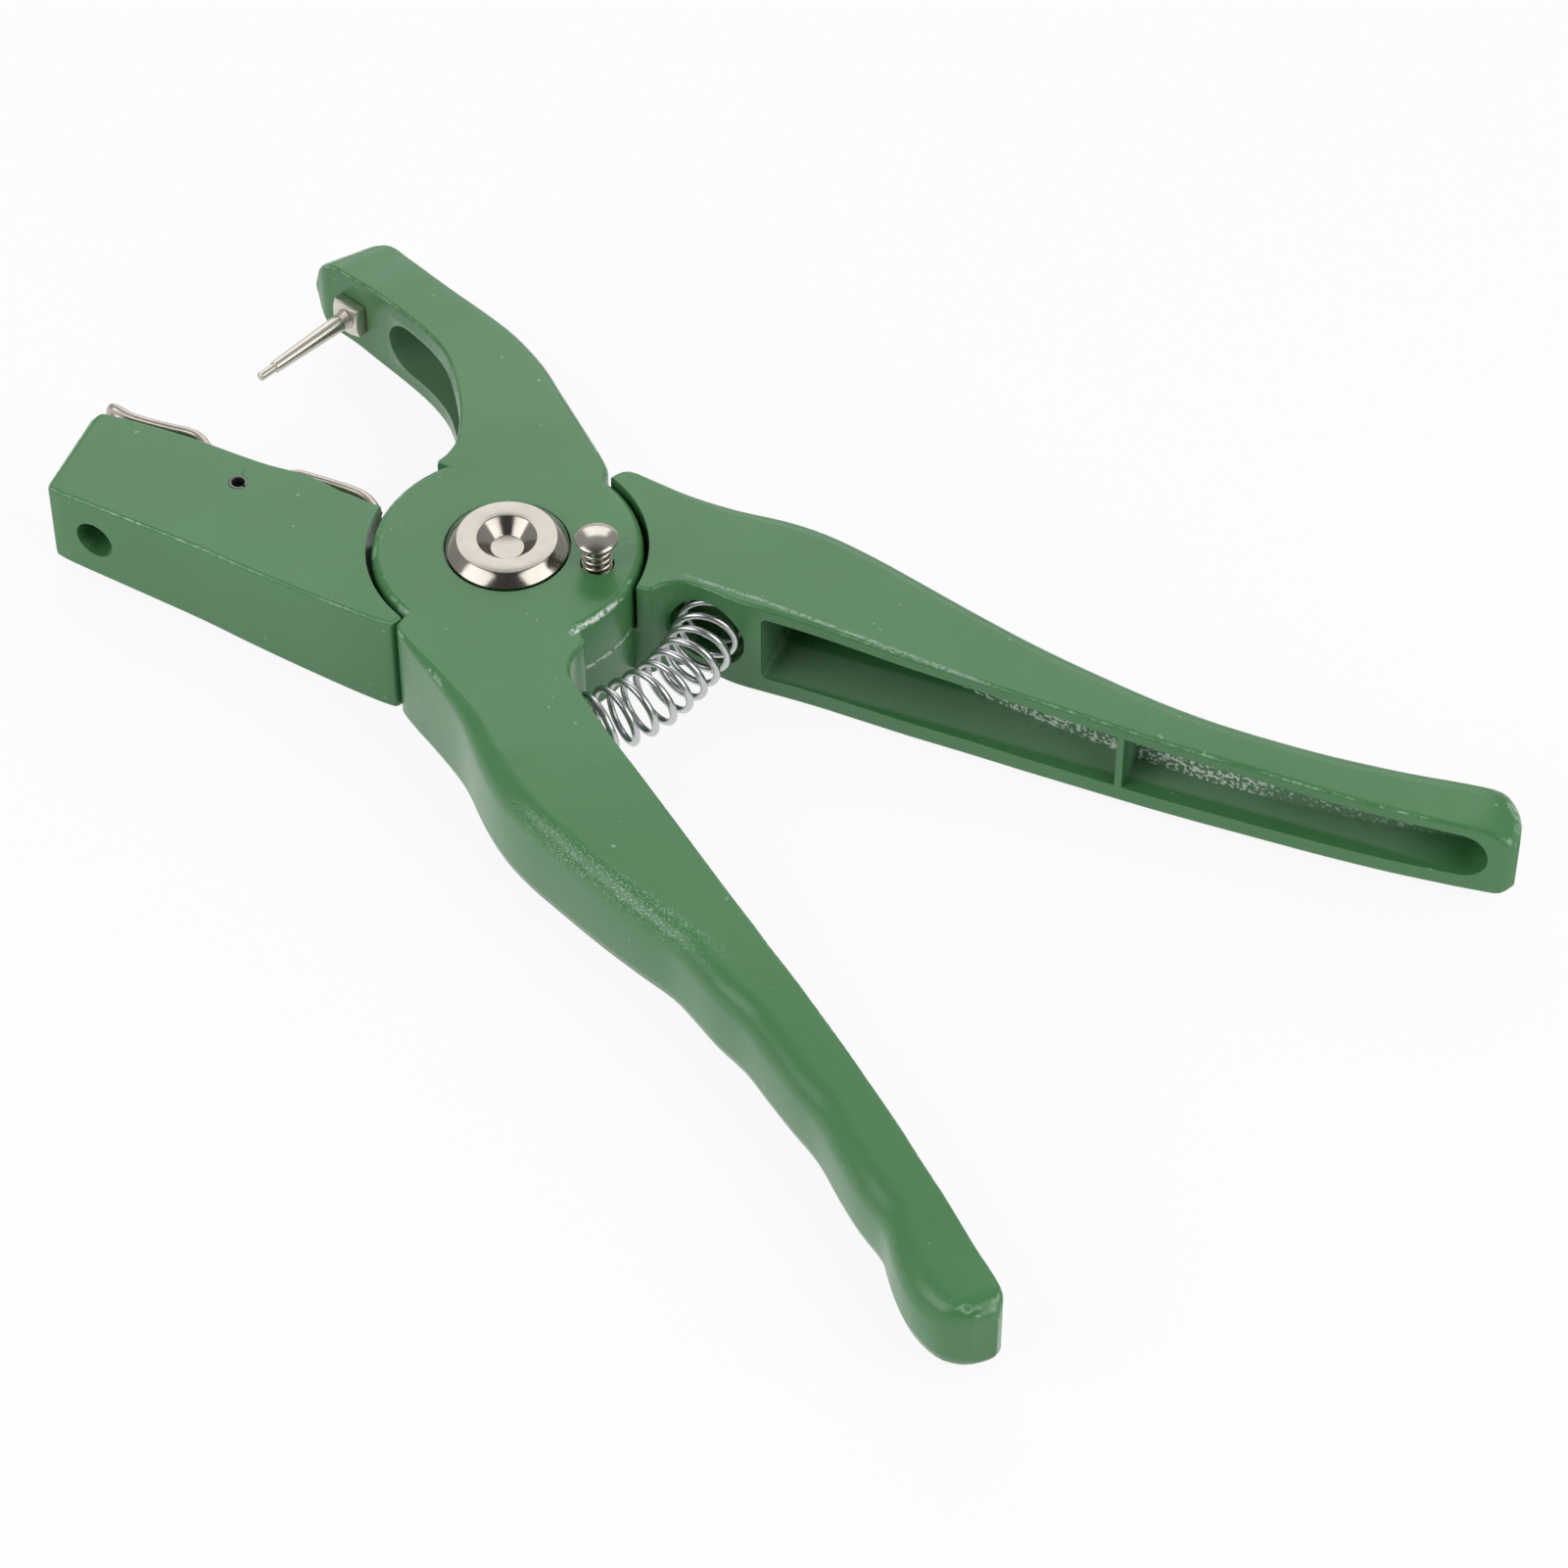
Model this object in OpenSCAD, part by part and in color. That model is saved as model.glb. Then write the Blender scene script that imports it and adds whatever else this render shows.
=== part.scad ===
// Hand tool that pushes an ear tag through an animal's ear.
// Two die-cast halves turn on one pivot. The origin is on the pivot axis at the
// flat underside of the hub, +X runs along the handles and +Z is up.

/* [Hub] */
// radius of each half's hub disc
hub_r = 22.5; // [22:0.1:23]
// thickness of the whole hub
hub_t = 20; // [19.6:0.1:20.4]
// gap round each disc to the other half's shoulders
arc_gap = 0.9; // [0.7:0.05:1.1]
// gap between the two lapped discs
lap_gap = 0.1; // [0.06:0.01:0.14]
// how far the needle half turns from open to closed, degrees
swing = 33; // [20:1:33]

/* [Pivot] */
// radius of the pivot's shank
pivot_r = 5; // [4.5:0.1:5.5]
// radius of the pivot's head
pivot_head_r = 10.2; // [9.8:0.1:10.4]
// height of the head over the hub's top
pivot_stand = 2.1; // [1.8:0.1:2.4]
// depth of the head's seat in the hub
pivot_seat = 1.4; // [1.2:0.1:1.6]
// radius of the round nut under the hub
nut_r = 9; // [8.5:0.1:9.5]
// thickness of the round nut
nut_t = 3; // [2.6:0.1:3.4]
// radial play of turning fits
play = 0.06; // [0.03:0.01:0.09]

/* [Lock button] */
// distance of the button from the pivot axis
lock_at = 15.4; // [15.2:0.05:15.6]
// direction of the button from the pivot, degrees
lock_turn = 25.4; // [24:0.1:27]
// radius of the button's stem
lock_r = 1.5; // [1.4:0.05:1.6]
// radius of the button's head
lock_head_r = 3.6; // [3.4:0.05:3.7]
// how far the button is pushed in
lock_travel = 4.5; // [4:0.1:4.6]

/* [Needle] */
// distance of the needle's line from the pivot
needle_at = 66; // [65.6:0.1:66.4]
// length of the needle below its nut
needle_len = 20.4; // [19.6:0.1:20.8]
// radius of the needle at its nut
needle_r = 1.55; // [1.5:0.05:1.65]
// radius of the needle's tapered end
needle_end_r = 1.05; // [1:0.05:1.1]
// radius of the thin tip
tip_r = 0.72; // [0.65:0.01:0.78]
// length of the thin tip
tip_len = 2.8; // [2.4:0.1:3.2]
// width across the square nut
sq_nut = 5.8; // [5.6:0.1:6]
// thickness of the square nut
sq_nut_t = 2.2; // [2:0.1:2.4]
// radius of the hole that the needle goes through
hole_r = 3.5; // [3.4:0.05:3.7]

/* [Springs and clip] */
// wire thickness of the handle spring
wire_d = 1.2; // [1.1:0.05:1.3]
// outer diameter of the handle spring
spring_d = 11.5; // [11.2:0.1:11.7]
// radius of the spring's seats in the handles
seat_r = 6.8; // [6.5:0.1:7]
// depth of the spring's seats
seat_deep = 7; // [6.5:0.1:7.5]
// wire thickness of the tag clip
clip_d = 1.3; // [1.2:0.05:1.4]
// half the distance between the clip's legs
clip_half_w = 5.5; // [5.3:0.05:5.7]
// radius of the rolled pin that holds the clip
roll_r = 1.65; // [1.6:0.01:1.7]

/* [Castings] */
// distance along X from the pivot to the handles' ends
grip_reach = 163; // [158:1:168]
// radius of the handles' rounded grip edges
grip_r = 4.4; // [3.8:0.1:4.6]
// radius of the crisp edges
crisp_r = 0.7; // [0.5:0.05:0.9]
// wall left round the channel in each handle
wall = 3.1; // [2.9:0.1:3.3]
// thickness of the cross rib in each channel
rib_t = 1.2; // [1:0.1:1.4]

/* [Hidden] */
// number of steps between two outline points
fine = 3;
// segments of round parts
$fn = 64;
// middle plane, where the discs meet
mid = hub_t / 2;
// how far a cutting body runs past a face
over = 1;

// points of a smooth curve through the given rows
function mix(a, b, c, d, t) =
  0.5 * ((2 * b) + (c - a) * t + (2 * a - 5 * b + 4 * c - d) * t * t
  + (3 * b - a - 3 * c + d) * t * t * t);
function smooth(rows, n) = let (last = len(rows) - 1) [
  for (i = [0 : last - 1])
    for (k = [0 : n - 1])
      mix(rows[max(i - 1, 0)], rows[i], rows[i + 1], rows[min(i + 2, last)], k / n),
  rows[last]
];

// one cross-section of an arm: row is outer x y, inner x y, half thickness,
// outer edge radius, inner edge radius
function section(row, n) = let (
  o = [row[0], row[1]],
  q = [row[2], row[3]],
  w = norm(q - o),
  u = (q - o) / w,
  h = min(row[4], mid),
  ro = min(row[5], w * 0.45, h * 0.9),
  ri = min(row[6], w * 0.45, h * 0.9)
) [
  for (c = [0 : 3])
    for (k = [0 : n])
      let (
        a = 180 + 90 * c + 90 * k / n,
        outer = c == 0 || c == 3,
        r = outer ? ro : ri,
        s = (outer ? ro : w - ri) + r * cos(a),
        z = (c < 2 ? r - h : h - r) + r * sin(a)
      )
      [o[0] + u[0] * s, o[1] + u[1] * s, mid + z]
];

// solid skin over rings of points that follow each other
module skin(rings) {
  m = len(rings[0]);
  last = len(rings) - 1;
  polyhedron(
    points = [for (ring = rings) each ring],
    faces = [
      [for (k = [0 : m - 1]) k],
      [for (k = [m - 1 : -1 : 0]) last * m + k],
      for (i = [0 : last - 1])
        for (k = [0 : m - 1])
          let (n = (k + 1) % m)
          each [
            [i * m + k, (i + 1) * m + k, (i + 1) * m + n],
            [i * m + k, (i + 1) * m + n, i * m + n]
          ]
    ],
    convexity = 8
  );
}

// the handles' rows are drawn for this reach and stretched about their roots
drawn_reach = 163;
root = [40, 18];
function stretched(rows, side) = let (
  k = (grip_reach - root[0]) / (drawn_reach - root[0]),
  c = [root[0], side * root[1]]
) [
  for (row = rows)
    let (far = norm([row[2], row[3]]) > norm(root))
    far ? [each (c + k * ([row[0], row[1]] - c)), each (c + k * ([row[2], row[3]] - c)),
      row[4], row[5], row[6]] : row
];

// an arm of a casting; flip is true where its rows run the other way round
module arm(rows, flip) {
  rings = [for (row = smooth(rows, fine)) section(row, 3)];
  skin(flip ? [for (i = [len(rings) - 1 : -1 : 0]) rings[i]] : rings);
}

// wire bent along a path of points, closed when the path meets itself
function side_of(d) = abs(d[2]) > 0.9 ? [1, 0, 0] : [0, 0, 1];
function unit(v) = v / norm(v);
module wire(path, d, n) {
  last = len(path) - 1;
  skin([
    for (i = [0 : last])
      let (
        t = unit(path[min(i + 1, last)] - path[max(i - 1, 0)]),
        a = unit(cross(side_of(t), t)),
        b = cross(t, a)
      )
      [for (k = [0 : n - 1]) path[i] + d / 2 * (a * cos(360 * k / n) + b * sin(360 * k / n))]
  ]);
}

// half thickness of the castings at a distance from the pivot
function jaw_h(r) = mid - 2 * (r - 24) / 55;
function grip_h(r) = mid - 2.9 * max(0, r - 45) / 125;

// jaw that carries the needle
needle_jaw_rows = [
  [4, 17, -17, 9, mid, 0.8, crisp_r],
  [1.4, 23.4, -22.2, 7.2, mid, 0.8, crisp_r],
  [-1.4, 25.8, -22.6, 9.9, mid, 1.2, crisp_r],
  [-7.8, 29.1, -23.9, 13.9, mid, 1.8, crisp_r],
  [-18.2, 34.1, -28.8, 19.9, jaw_h(33), 1.8, crisp_r],
  [-25.3, 37.5, -34, 24.3, jaw_h(42), 1.8, crisp_r],
  [-33.9, 40.2, -39.7, 28.3, jaw_h(49), 1.8, crisp_r],
  [-42.1, 41.5, -45.9, 30.5, jaw_h(56), 1.8, crisp_r],
  [-51, 42.4, -53, 31.7, jaw_h(63), 1.8, crisp_r],
  [-58.7, 43.4, -61, 32.6, jaw_h(70), 1.8, crisp_r],
  [-63.4, 44.2, -66.4, 33, jaw_h(75) - 0.3, 1.8, crisp_r],
  [-66.7, 44.6, -70.4, 33, jaw_h(79) - 0.3, 1.8, 0.9],
  [-69, 43.9, -72.9, 32.8, jaw_h(80) - 1, 1.8, 1.1],
  [-70.5, 43.3, -74.5, 33.3, 5.6, 1.8, 1.3],
  [-71.5, 42.7, -75.4, 33.7, 3.6, 1.6, 1.4],
  [-71.5, 41.8, -75.9, 33.8, 1.8, 1.2, 1.2],
];
// jaw that carries the clip
clip_jaw_rows = [
  [-2.2, -20.5, -19.5, -5.4, mid, crisp_r, crisp_r],
  [-2.4, -24.8, -22.4, -6.3, mid, crisp_r, crisp_r],
  [-3.9, -26, -24, -6.6, mid, crisp_r, crisp_r],
  [-11.9, -27.8, -30, -7.7, jaw_h(30), crisp_r, crisp_r],
  [-21.9, -29.6, -37.2, -8.3, jaw_h(38), crisp_r, crisp_r],
  [-31, -31.1, -44.3, -10.5, jaw_h(46), crisp_r, crisp_r],
  [-40, -32.4, -50.1, -11.8, jaw_h(53), crisp_r, crisp_r],
  [-49, -34, -57, -13.2, jaw_h(60), crisp_r, crisp_r],
  [-58, -35.7, -64, -15, jaw_h(67), crisp_r, crisp_r],
  [-66, -37.2, -71.5, -17.3, jaw_h(74), crisp_r, crisp_r],
  [-68.6, -37.5, -73.8, -18.2, jaw_h(77), crisp_r, crisp_r],
  [-69.4, -37.5, -75.4, -18.8, jaw_h(78) - 0.1, crisp_r, crisp_r],
  [-70, -37.1, -75.9, -20.6, jaw_h(78) - 0.6, crisp_r, crisp_r],
];
// smooth handle, cast with the clip jaw
clip_grip_rows = stretched([
  [2.6, 20, 20, 5.8, mid, crisp_r, crisp_r],
  [2.2, 23.8, 24.4, 7.3, mid, crisp_r, crisp_r],
  [3.4, 26.6, 25.3, 9.4, mid, 1, crisp_r],
  [8, 27.8, 27.6, 12.2, mid, 1.6, crisp_r],
  [14.4, 29.3, 32, 13.6, grip_h(34), 2.4, crisp_r],
  [22, 32.2, 37.1, 14.5, grip_h(40), 3.4, crisp_r],
  [29.9, 35.9, 43.1, 16.5, grip_h(46), 4, crisp_r],
  [37, 38.2, 50.1, 18.7, grip_h(54), grip_r, crisp_r],
  [46, 39.3, 58.1, 20.9, grip_h(62), grip_r, crisp_r],
  [57.5, 39.9, 67.1, 23.3, grip_h(72), grip_r, crisp_r],
  [69.3, 40.4, 77.1, 26.3, grip_h(81), grip_r, crisp_r],
  [80.6, 41.3, 86.1, 28.8, grip_h(91), grip_r, crisp_r],
  [91.1, 42.7, 95.6, 31.6, grip_h(101), grip_r, crisp_r],
  [101.5, 44.4, 105.5, 34.5, grip_h(112), grip_r, crisp_r],
  [111.4, 46.8, 115, 37.5, grip_h(122), grip_r, crisp_r],
  [120.9, 49.9, 124.9, 40.8, grip_h(132), grip_r, crisp_r],
  [130.1, 53.4, 134.4, 44, grip_h(142), grip_r, crisp_r],
  [141.1, 58.3, 144.5, 47.7, grip_h(152), grip_r, crisp_r],
  [149.7, 62.7, 153.4, 51.4, grip_h(160), grip_r, crisp_r],
  [154.8, 64.7, 158.9, 53.7, grip_h(166), grip_r, 0.9],
  [158.4, 63.6, 162.2, 54.5, grip_h(170) - 0.8, 4, 1.2],
  [160.7, 61.3, 163.6, 56.3, grip_h(172) - 1.8, 2.4, 1.8],
], 1);
// handle with finger ridges, cast with the needle jaw
needle_grip_rows = stretched([
  [-2, -19, 20, -5.8, mid, crisp_r, crisp_r],
  [-1.9, -24.8, 24.2, -8.2, mid, crisp_r, crisp_r],
  [2.3, -27, 24.9, -11.6, mid, 1.2, crisp_r],
  [8.2, -28.8, 27, -15, mid, 1.8, crisp_r],
  [15.5, -31.2, 31.4, -16.9, grip_h(34), 2.4, crisp_r],
  [20.5, -33.5, 37, -19.3, grip_h(40), 3.2, crisp_r],
  [27.7, -37.7, 43.6, -21.8, grip_h(46), 4, crisp_r],
  [34.8, -40.9, 49.4, -23.8, grip_h(54), grip_r, crisp_r],
  [41.8, -42.7, 56.4, -26.3, grip_h(60), grip_r, crisp_r],
  [50.6, -44, 63.8, -29, grip_h(68), grip_r, crisp_r],
  [59.4, -45.1, 71.4, -31.7, grip_h(76), grip_r, crisp_r],
  [67.8, -45.8, 77.8, -34, grip_h(84), grip_r, crisp_r],
  [74.8, -46.2, 83.9, -36.1, grip_h(90), grip_r, crisp_r],
  [79.9, -47.4, 88.5, -37.8, grip_h(95), grip_r, crisp_r],
  [86.5, -49.3, 94.5, -39.8, grip_h(101), grip_r, crisp_r],
  [93.4, -50.6, 100.5, -42, grip_h(107), grip_r, crisp_r],
  [99.7, -52.8, 105.9, -44, grip_h(113), grip_r, crisp_r],
  [106.4, -55.1, 112.4, -46.5, grip_h(120), grip_r, crisp_r],
  [113.7, -57.4, 119.4, -49.3, grip_h(128), grip_r, crisp_r],
  [120.9, -61, 125.6, -51.8, grip_h(134), grip_r, crisp_r],
  [127.3, -63.9, 131.9, -54.6, grip_h(140), grip_r, crisp_r],
  [133.8, -66.2, 138.3, -57.3, grip_h(148), grip_r, crisp_r],
  [138.8, -69.9, 143.3, -59.6, grip_h(155), grip_r, crisp_r],
  [143, -72.6, 148.9, -62.2, grip_h(161), grip_r, crisp_r],
  [147.4, -74.3, 153.4, -64.1, grip_h(164), grip_r, crisp_r],
  [151.9, -74.5, 156.4, -65.7, grip_h(167), 4, 0.9],
  [155, -72.6, 157.5, -67.3, grip_h(170) - 0.9, 3.2, 1.4],
  [156.5, -70.6, 158, -68.7, grip_h(171) - 2.2, 1.6, 1.6],
], -1);

// needle line: at open it points at the face of the clip jaw
needle_dir = 267;
needle_foot = [-needle_at, 32.95];
// depth of the needle's screwed end in the jaw
needle_top = 8;
// gap under the square nut
nut_lift = 0.15;

// line of the needle's hole through the clip jaw, and the tag's wider mouth
hole_out = [-60.8, -36.5];
hole_dir = 286;
tag_mouth_r = 5;
tag_mouth_from = 18;

// local frame of the clip jaw's inner face: s along it, up off it
face_turn = 13.7;
function on_face(s, up, z) = [
  -s * cos(face_turn) - up * sin(face_turn),
  -s * sin(face_turn) + up * cos(face_turn),
  z
];
function on_plan(s, up) = [on_face(s, up, 0)[0], on_face(s, up, 0)[1]];
// place of the rolled pin
roll_s = 47.9;
roll_up = -5.8;
// width of the slots that the clip's legs dip into
slot_w = 2;
// one leg of the clip, from its closed end at the jaw's tip to the hub
leg = [
  [77.9, 3.7], [76.6, 3.5], [74.6, 3.1], [71.7, 3.2], [67, 3.7], [62.4, 4.2], [60.6, 3.6],
  [58.2, 2.2], [55, 2], [53.8, 1], [51.9, -3], [50.7, -6.4], [49.5, -8.3], [47.9, -9],
  [46.3, -8.3], [45.1, -6.4], [44, -2], [43.1, 2.4], [42.2, 3.6], [39.7, 4.1],
  [35.2, 4.5], [32, 4.7], [29.4, 4.4], [27.1, 3.3], [25.2, 1.6]
];

// where the handle spring sits: its two ends on an arc round the pivot
spring_at = 34.4;
seat_up = 22.6;
seat_down = -28.6;

// lock button: floor of its spring well, radii and heights inside the discs
lock_floor = hub_t - 5;
lock_well_r = 2.85;
lock_hole_r = 2.75;
lock_ring_top = mid + lap_gap / 2 + 1.3;
// height of the head's underside over the hub
lock_rise = 5.2;
// room left under the pushed-in button
lock_spare = 0.7;

// channels in the handles: half height at the root, corner radii, wall share
channel_h = mid - wall;
channel_root_r = 1.2;
channel_tip_r = 4.6;
channel_depth = 30;
// height of the channels' middle line over the middle plane
channel_rise = 0.6;
// share of the handle's width that the channel takes
clip_share = 0.66;
needle_share = 0.62;
// where each channel starts, its direction and its rib's place
clip_channel = [41.2, 15.9];
clip_channel_turn = 17.9;
clip_channel_end = 38.6;
clip_rib_at = 62.5;
needle_channel = [43.6, -21.9];
needle_channel_turn = -20.9;
needle_channel_end = 49;
needle_rib_at = 58;

// channel cut into a handle from its inner face: at is its start on the face
// and turn its direction; it narrows to a round end
module channel(at, turn, length) {
  lead = 3;
  translate([at[0], at[1], mid + channel_rise])
    rotate([0, 0, turn])
      rotate([-90, 0, 0])
        translate([0, 0, -lead])
          hull() {
            for (s = [-1, 1])
              translate([channel_root_r, s * (channel_h - channel_root_r), 0])
                cylinder(r = channel_root_r, h = channel_depth + lead, $fn = 24);
            translate([length - channel_tip_r, 0, 0])
              cylinder(r = channel_tip_r, h = channel_depth + lead, $fn = 32);
          }
}

// floor limit of a channel: everything nearer the inner face than the grip wall
function floor_line(rows, part) = [
  for (row = rows) [row[2] + (row[0] - row[2]) * part, row[3] + (row[1] - row[3]) * part]
];
function face_line(rows, out) = [
  for (row = rows)
    let (d = [row[2] - row[0], row[3] - row[1]], u = d / norm(d))
    [row[2] + u[0] * out, row[3] + u[1] * out]
];
module hollow(rows, part, at, turn, length, rib_at) {
  curve = smooth(rows, 2);
  edge = floor_line(curve, part);
  back = face_line(curve, 3);
  difference() {
    intersection() {
      channel(at, turn, length);
      linear_extrude(hub_t + 2 * over)
        polygon([for (p = edge) p, for (i = [len(back) - 1 : -1 : 0]) back[i]]);
    }
    translate([at[0], at[1], -over])
      rotate([0, 0, turn])
        translate([rib_at, -30, 0])
          cube([rib_t, 60, hub_t + 2 * over]);
  }
}

// ring of space round a disc, from one height to another
module disc_room(z0, z1) {
  translate([0, 0, z0])
    cylinder(r = hub_r + arc_gap, h = z1 - z0, $fn = 128);
}

module spring_seat(turn, side) {
  rotate([0, 0, turn])
    translate([spring_at, side * seat_deep, mid])
      rotate([side * 90, 0, 0])
        cylinder(r = seat_r, h = seat_deep + 6, $fn = 48);
}

// rounded disc: its outer top edge is broken
module disc(z0, z1, round_top) {
  e = 1.6;
  rotate_extrude($fn = 128)
    polygon([
      [0, z0], [hub_r, z0],
      for (k = [0 : 4]) round_top
        ? [hub_r - e + e * cos(90 * k / 4), z1 - e + e * sin(90 * k / 4)]
        : [hub_r, z1],
      [0, z1]
    ]);
}

module hole_tool(r, from, to) {
  translate([hole_out[0], hole_out[1], mid])
    rotate([0, 0, hole_dir])
      rotate([0, -90, 0])
        translate([0, 0, from])
          cylinder(r = r, h = to - from, $fn = 48);
}

module clip_half() {
  color([0.2, 0.42, 0.24])
    difference() {
      union() {
        difference() {
          union() {
            arm(clip_jaw_rows, true);
            arm(clip_grip_rows, true);
          }
          disc_room(mid - lap_gap / 2, hub_t + over);
          translate([0, 0, mid - lap_gap / 2])
            cylinder(r = hub_r, h = hub_t, $fn = 128);
        }
        cylinder(r = hub_r, h = mid - lap_gap / 2, $fn = 128);
      }
      // pivot's close hole and the round nut's seat
      translate([0, 0, -over])
        cylinder(r = pivot_r, h = hub_t);
      translate([0, 0, -over])
        cylinder(r = nut_r + 0.3, h = nut_t + over);
      // the two holes that the lock button drops into
      for (turn = [lock_turn, lock_turn + swing])
        rotate([0, 0, turn])
          translate([lock_at, 0, mid - lap_gap / 2 - lock_travel - lock_spare])
            cylinder(r = lock_hole_r, h = lock_travel + lock_spare + over, $fn = 40);
      spring_seat(seat_up, 1);
      hollow(clip_grip_rows, clip_share, clip_channel, clip_channel_turn,
        grip_reach - clip_channel_end, clip_rib_at);
      // needle hole with a wider mouth for the tag
      hole_tool(hole_r, -3, 30);
      hole_tool(tag_mouth_r, tag_mouth_from, 30);
      // slot that the clip dips into, and the rolled pin's hole
      clip_slot();
      translate(on_face(roll_s, roll_up, -over))
        cylinder(r = roll_r, h = hub_t + 2 * over, $fn = 32);
    }
}

module clip_slot() {
  for (side = [-1, 1])
    translate([0, 0, mid + side * clip_half_w - slot_w / 2])
      linear_extrude(slot_w)
        polygon([
          on_plan(55.5, 6), on_plan(55.5, 0.4), on_plan(52, -7.4), on_plan(50, -10),
          on_plan(45.8, -10), on_plan(43.8, -7.4), on_plan(42.2, 0.4), on_plan(42.2, 6)
        ]);
}

module needle_half() {
  color([0.2, 0.42, 0.24])
    difference() {
      union() {
        difference() {
          union() {
            arm(needle_jaw_rows, false);
            arm(needle_grip_rows, false);
          }
          disc_room(-over, mid + lap_gap / 2);
          translate([0, 0, -over])
            cylinder(r = hub_r, h = mid + lap_gap / 2 + over, $fn = 128);
          translate([0, 0, mid])
            cylinder(r = hub_r - 2, h = hub_t, $fn = 128);
        }
        disc(mid + lap_gap / 2, hub_t, true);
      }
      // pivot's turning fit and the head's seat
      cylinder(r = pivot_r + play, h = hub_t + over);
      translate([0, 0, hub_t - pivot_seat])
        cylinder(r = pivot_head_r + 0.35, h = pivot_seat + over, $fn = 96);
      // lock button: spring well, stem guide and the ring's room
      rotate([0, 0, lock_turn])
        translate([lock_at, 0, 0]) {
          translate([0, 0, lock_floor])
            cylinder(r = lock_well_r, h = hub_t, $fn = 40);
          cylinder(r = lock_r + play, h = hub_t, $fn = 40);
          cylinder(r = lock_hole_r, h = lock_ring_top, $fn = 40);
        }
      spring_seat(seat_down, -1);
      hollow(needle_grip_rows, needle_share, needle_channel, needle_channel_turn,
        grip_reach - needle_channel_end, needle_rib_at);
      // finger-shaped pocket in the jaw's inner face
      jaw_pocket();
      // hole that the needle is screwed into
      translate([needle_foot[0], needle_foot[1], mid])
        rotate([0, 0, needle_dir])
          rotate([0, -90, 0])
            translate([0, 0, -2])
              cylinder(r = needle_r, h = needle_top + 2, $fn = 32);
    }
}

module jaw_pocket() {
  intersection() {
    translate([-42.5, 28.6, mid])
      rotate([0, 0, -24])
        rotate([90, 0, 0])
          hull()
            for (s = [-1, 1])
              translate([s * 9.5, 0, -9])
                cylinder(r = 5.2, h = 24, $fn = 32);
    linear_extrude(hub_t)
      polygon([for (p = floor_line(smooth(needle_jaw_rows, 2), 0.62)) p,
        [-80, 20], [-40, 0], [-10, 0]]);
  }
}

module pivot_pin() {
  top = hub_t + pivot_stand;
  bevel = 1.6;
  rim = 0.6;
  dish = 2.3;
  break_edge = 0.5;
  color([0.78, 0.76, 0.72])
    rotate_extrude($fn = 96)
      polygon([
        [0, 0],
        [pivot_r - break_edge, 0],
        [pivot_r, break_edge],
        [pivot_r, hub_t - pivot_seat],
        [pivot_head_r - rim, hub_t - pivot_seat],
        [pivot_head_r, hub_t + rim / 2],
        [pivot_head_r, top - bevel],
        [pivot_head_r - bevel, top],
        [pivot_r, top],
        [pivot_r - dish, top - dish],
        [0, top - dish]
      ]);
}

module pivot_nut() {
  color([0.72, 0.71, 0.68])
    difference() {
      cylinder(r = nut_r, h = nut_t, $fn = 96);
      translate([0, 0, -over])
        cylinder(r = pivot_r, h = nut_t + 2 * over);
      for (turn = [0 : 90 : 270])
        rotate([0, 0, turn])
          translate([(nut_r + pivot_r) / 2, 0, -over])
            cylinder(r = 0.9, h = 1.4 + over, $fn = 20);
    }
}

module at_lock() {
  rotate([0, 0, lock_turn])
    translate([lock_at, 0, 0])
      children();
}

module lock_pin() {
  under = hub_t + lock_rise;
  foot = mid + lap_gap / 2 + 0.15;
  dome = 1.1;
  ball = (lock_head_r * lock_head_r + dome * dome) / (2 * dome);
  span = asin(lock_head_r / ball);
  color([0.74, 0.72, 0.68])
    at_lock()
      rotate_extrude($fn = 48)
        polygon([
          [0, foot], [lock_r, foot], [lock_r, under], [lock_head_r - 0.2, under],
          [lock_head_r, under + 0.2],
          for (k = [0 : 6])
            [ball * sin(span * (1 - k / 6)), under + 0.6 + dome - ball + ball * cos(span * (1 - k / 6))]
        ]);
}

module lock_ring() {
  color([0.7, 0.69, 0.66])
    at_lock()
      translate([0, 0, lock_ring_top - 0.8])
        difference() {
          cylinder(r = lock_hole_r - 0.25, h = 0.75, $fn = 40);
          translate([0, 0, -over])
            cylinder(r = lock_r, h = 3, $fn = 40);
        }
}

// coil round the Z axis, from one height to another
function coil(r, z0, z1, turns, n) = [
  for (k = [0 : n * turns])
    let (a = 360 * k / n)
    [r * cos(a), r * sin(a), z0 + (z1 - z0) * k / (n * turns)]
];

module lock_spring() {
  w = 0.6;
  z0 = lock_floor + w / 2 + 0.02;
  z1 = hub_t + lock_rise - w / 2 - 0.02;
  color([0.8, 0.8, 0.78])
    at_lock()
      wire(coil(lock_well_r - 0.2 - w / 2, z0, z1, 8, 12), w, 6);
}

// handle spring: a coil whose middle line is an arc round the pivot, with
// straight ends in the two seats
module main_spring() {
  n = 15;
  turns = 13;
  r = (spring_d - wire_d) / 2;
  arc = spring_at * (seat_up - seat_down) * PI / 180;
  ends = seat_deep - wire_d / 2 - 0.05;
  whole = arc + 2 * ends;
  color([0.78, 0.79, 0.8])
    wire([
      for (k = [0 : n * turns])
        let (
          s = whole * k / (n * turns) - ends,
          on = min(max(s, 0), arc),
          past = s - on,
          turn = seat_down + (seat_up - seat_down) * on / arc,
          a = 360 * k / n,
          q = spring_at + r * cos(a)
        )
        [q * cos(turn) - past * sin(turn), q * sin(turn) + past * cos(turn), mid + r * sin(a)]
    ], wire_d, 6);
}

// needle along its own line, foot at the jaw's face
module needle_line() {
  translate([needle_foot[0], needle_foot[1], mid])
    rotate([0, 0, needle_dir])
      rotate([0, 90, 0])
        children();
}

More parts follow.
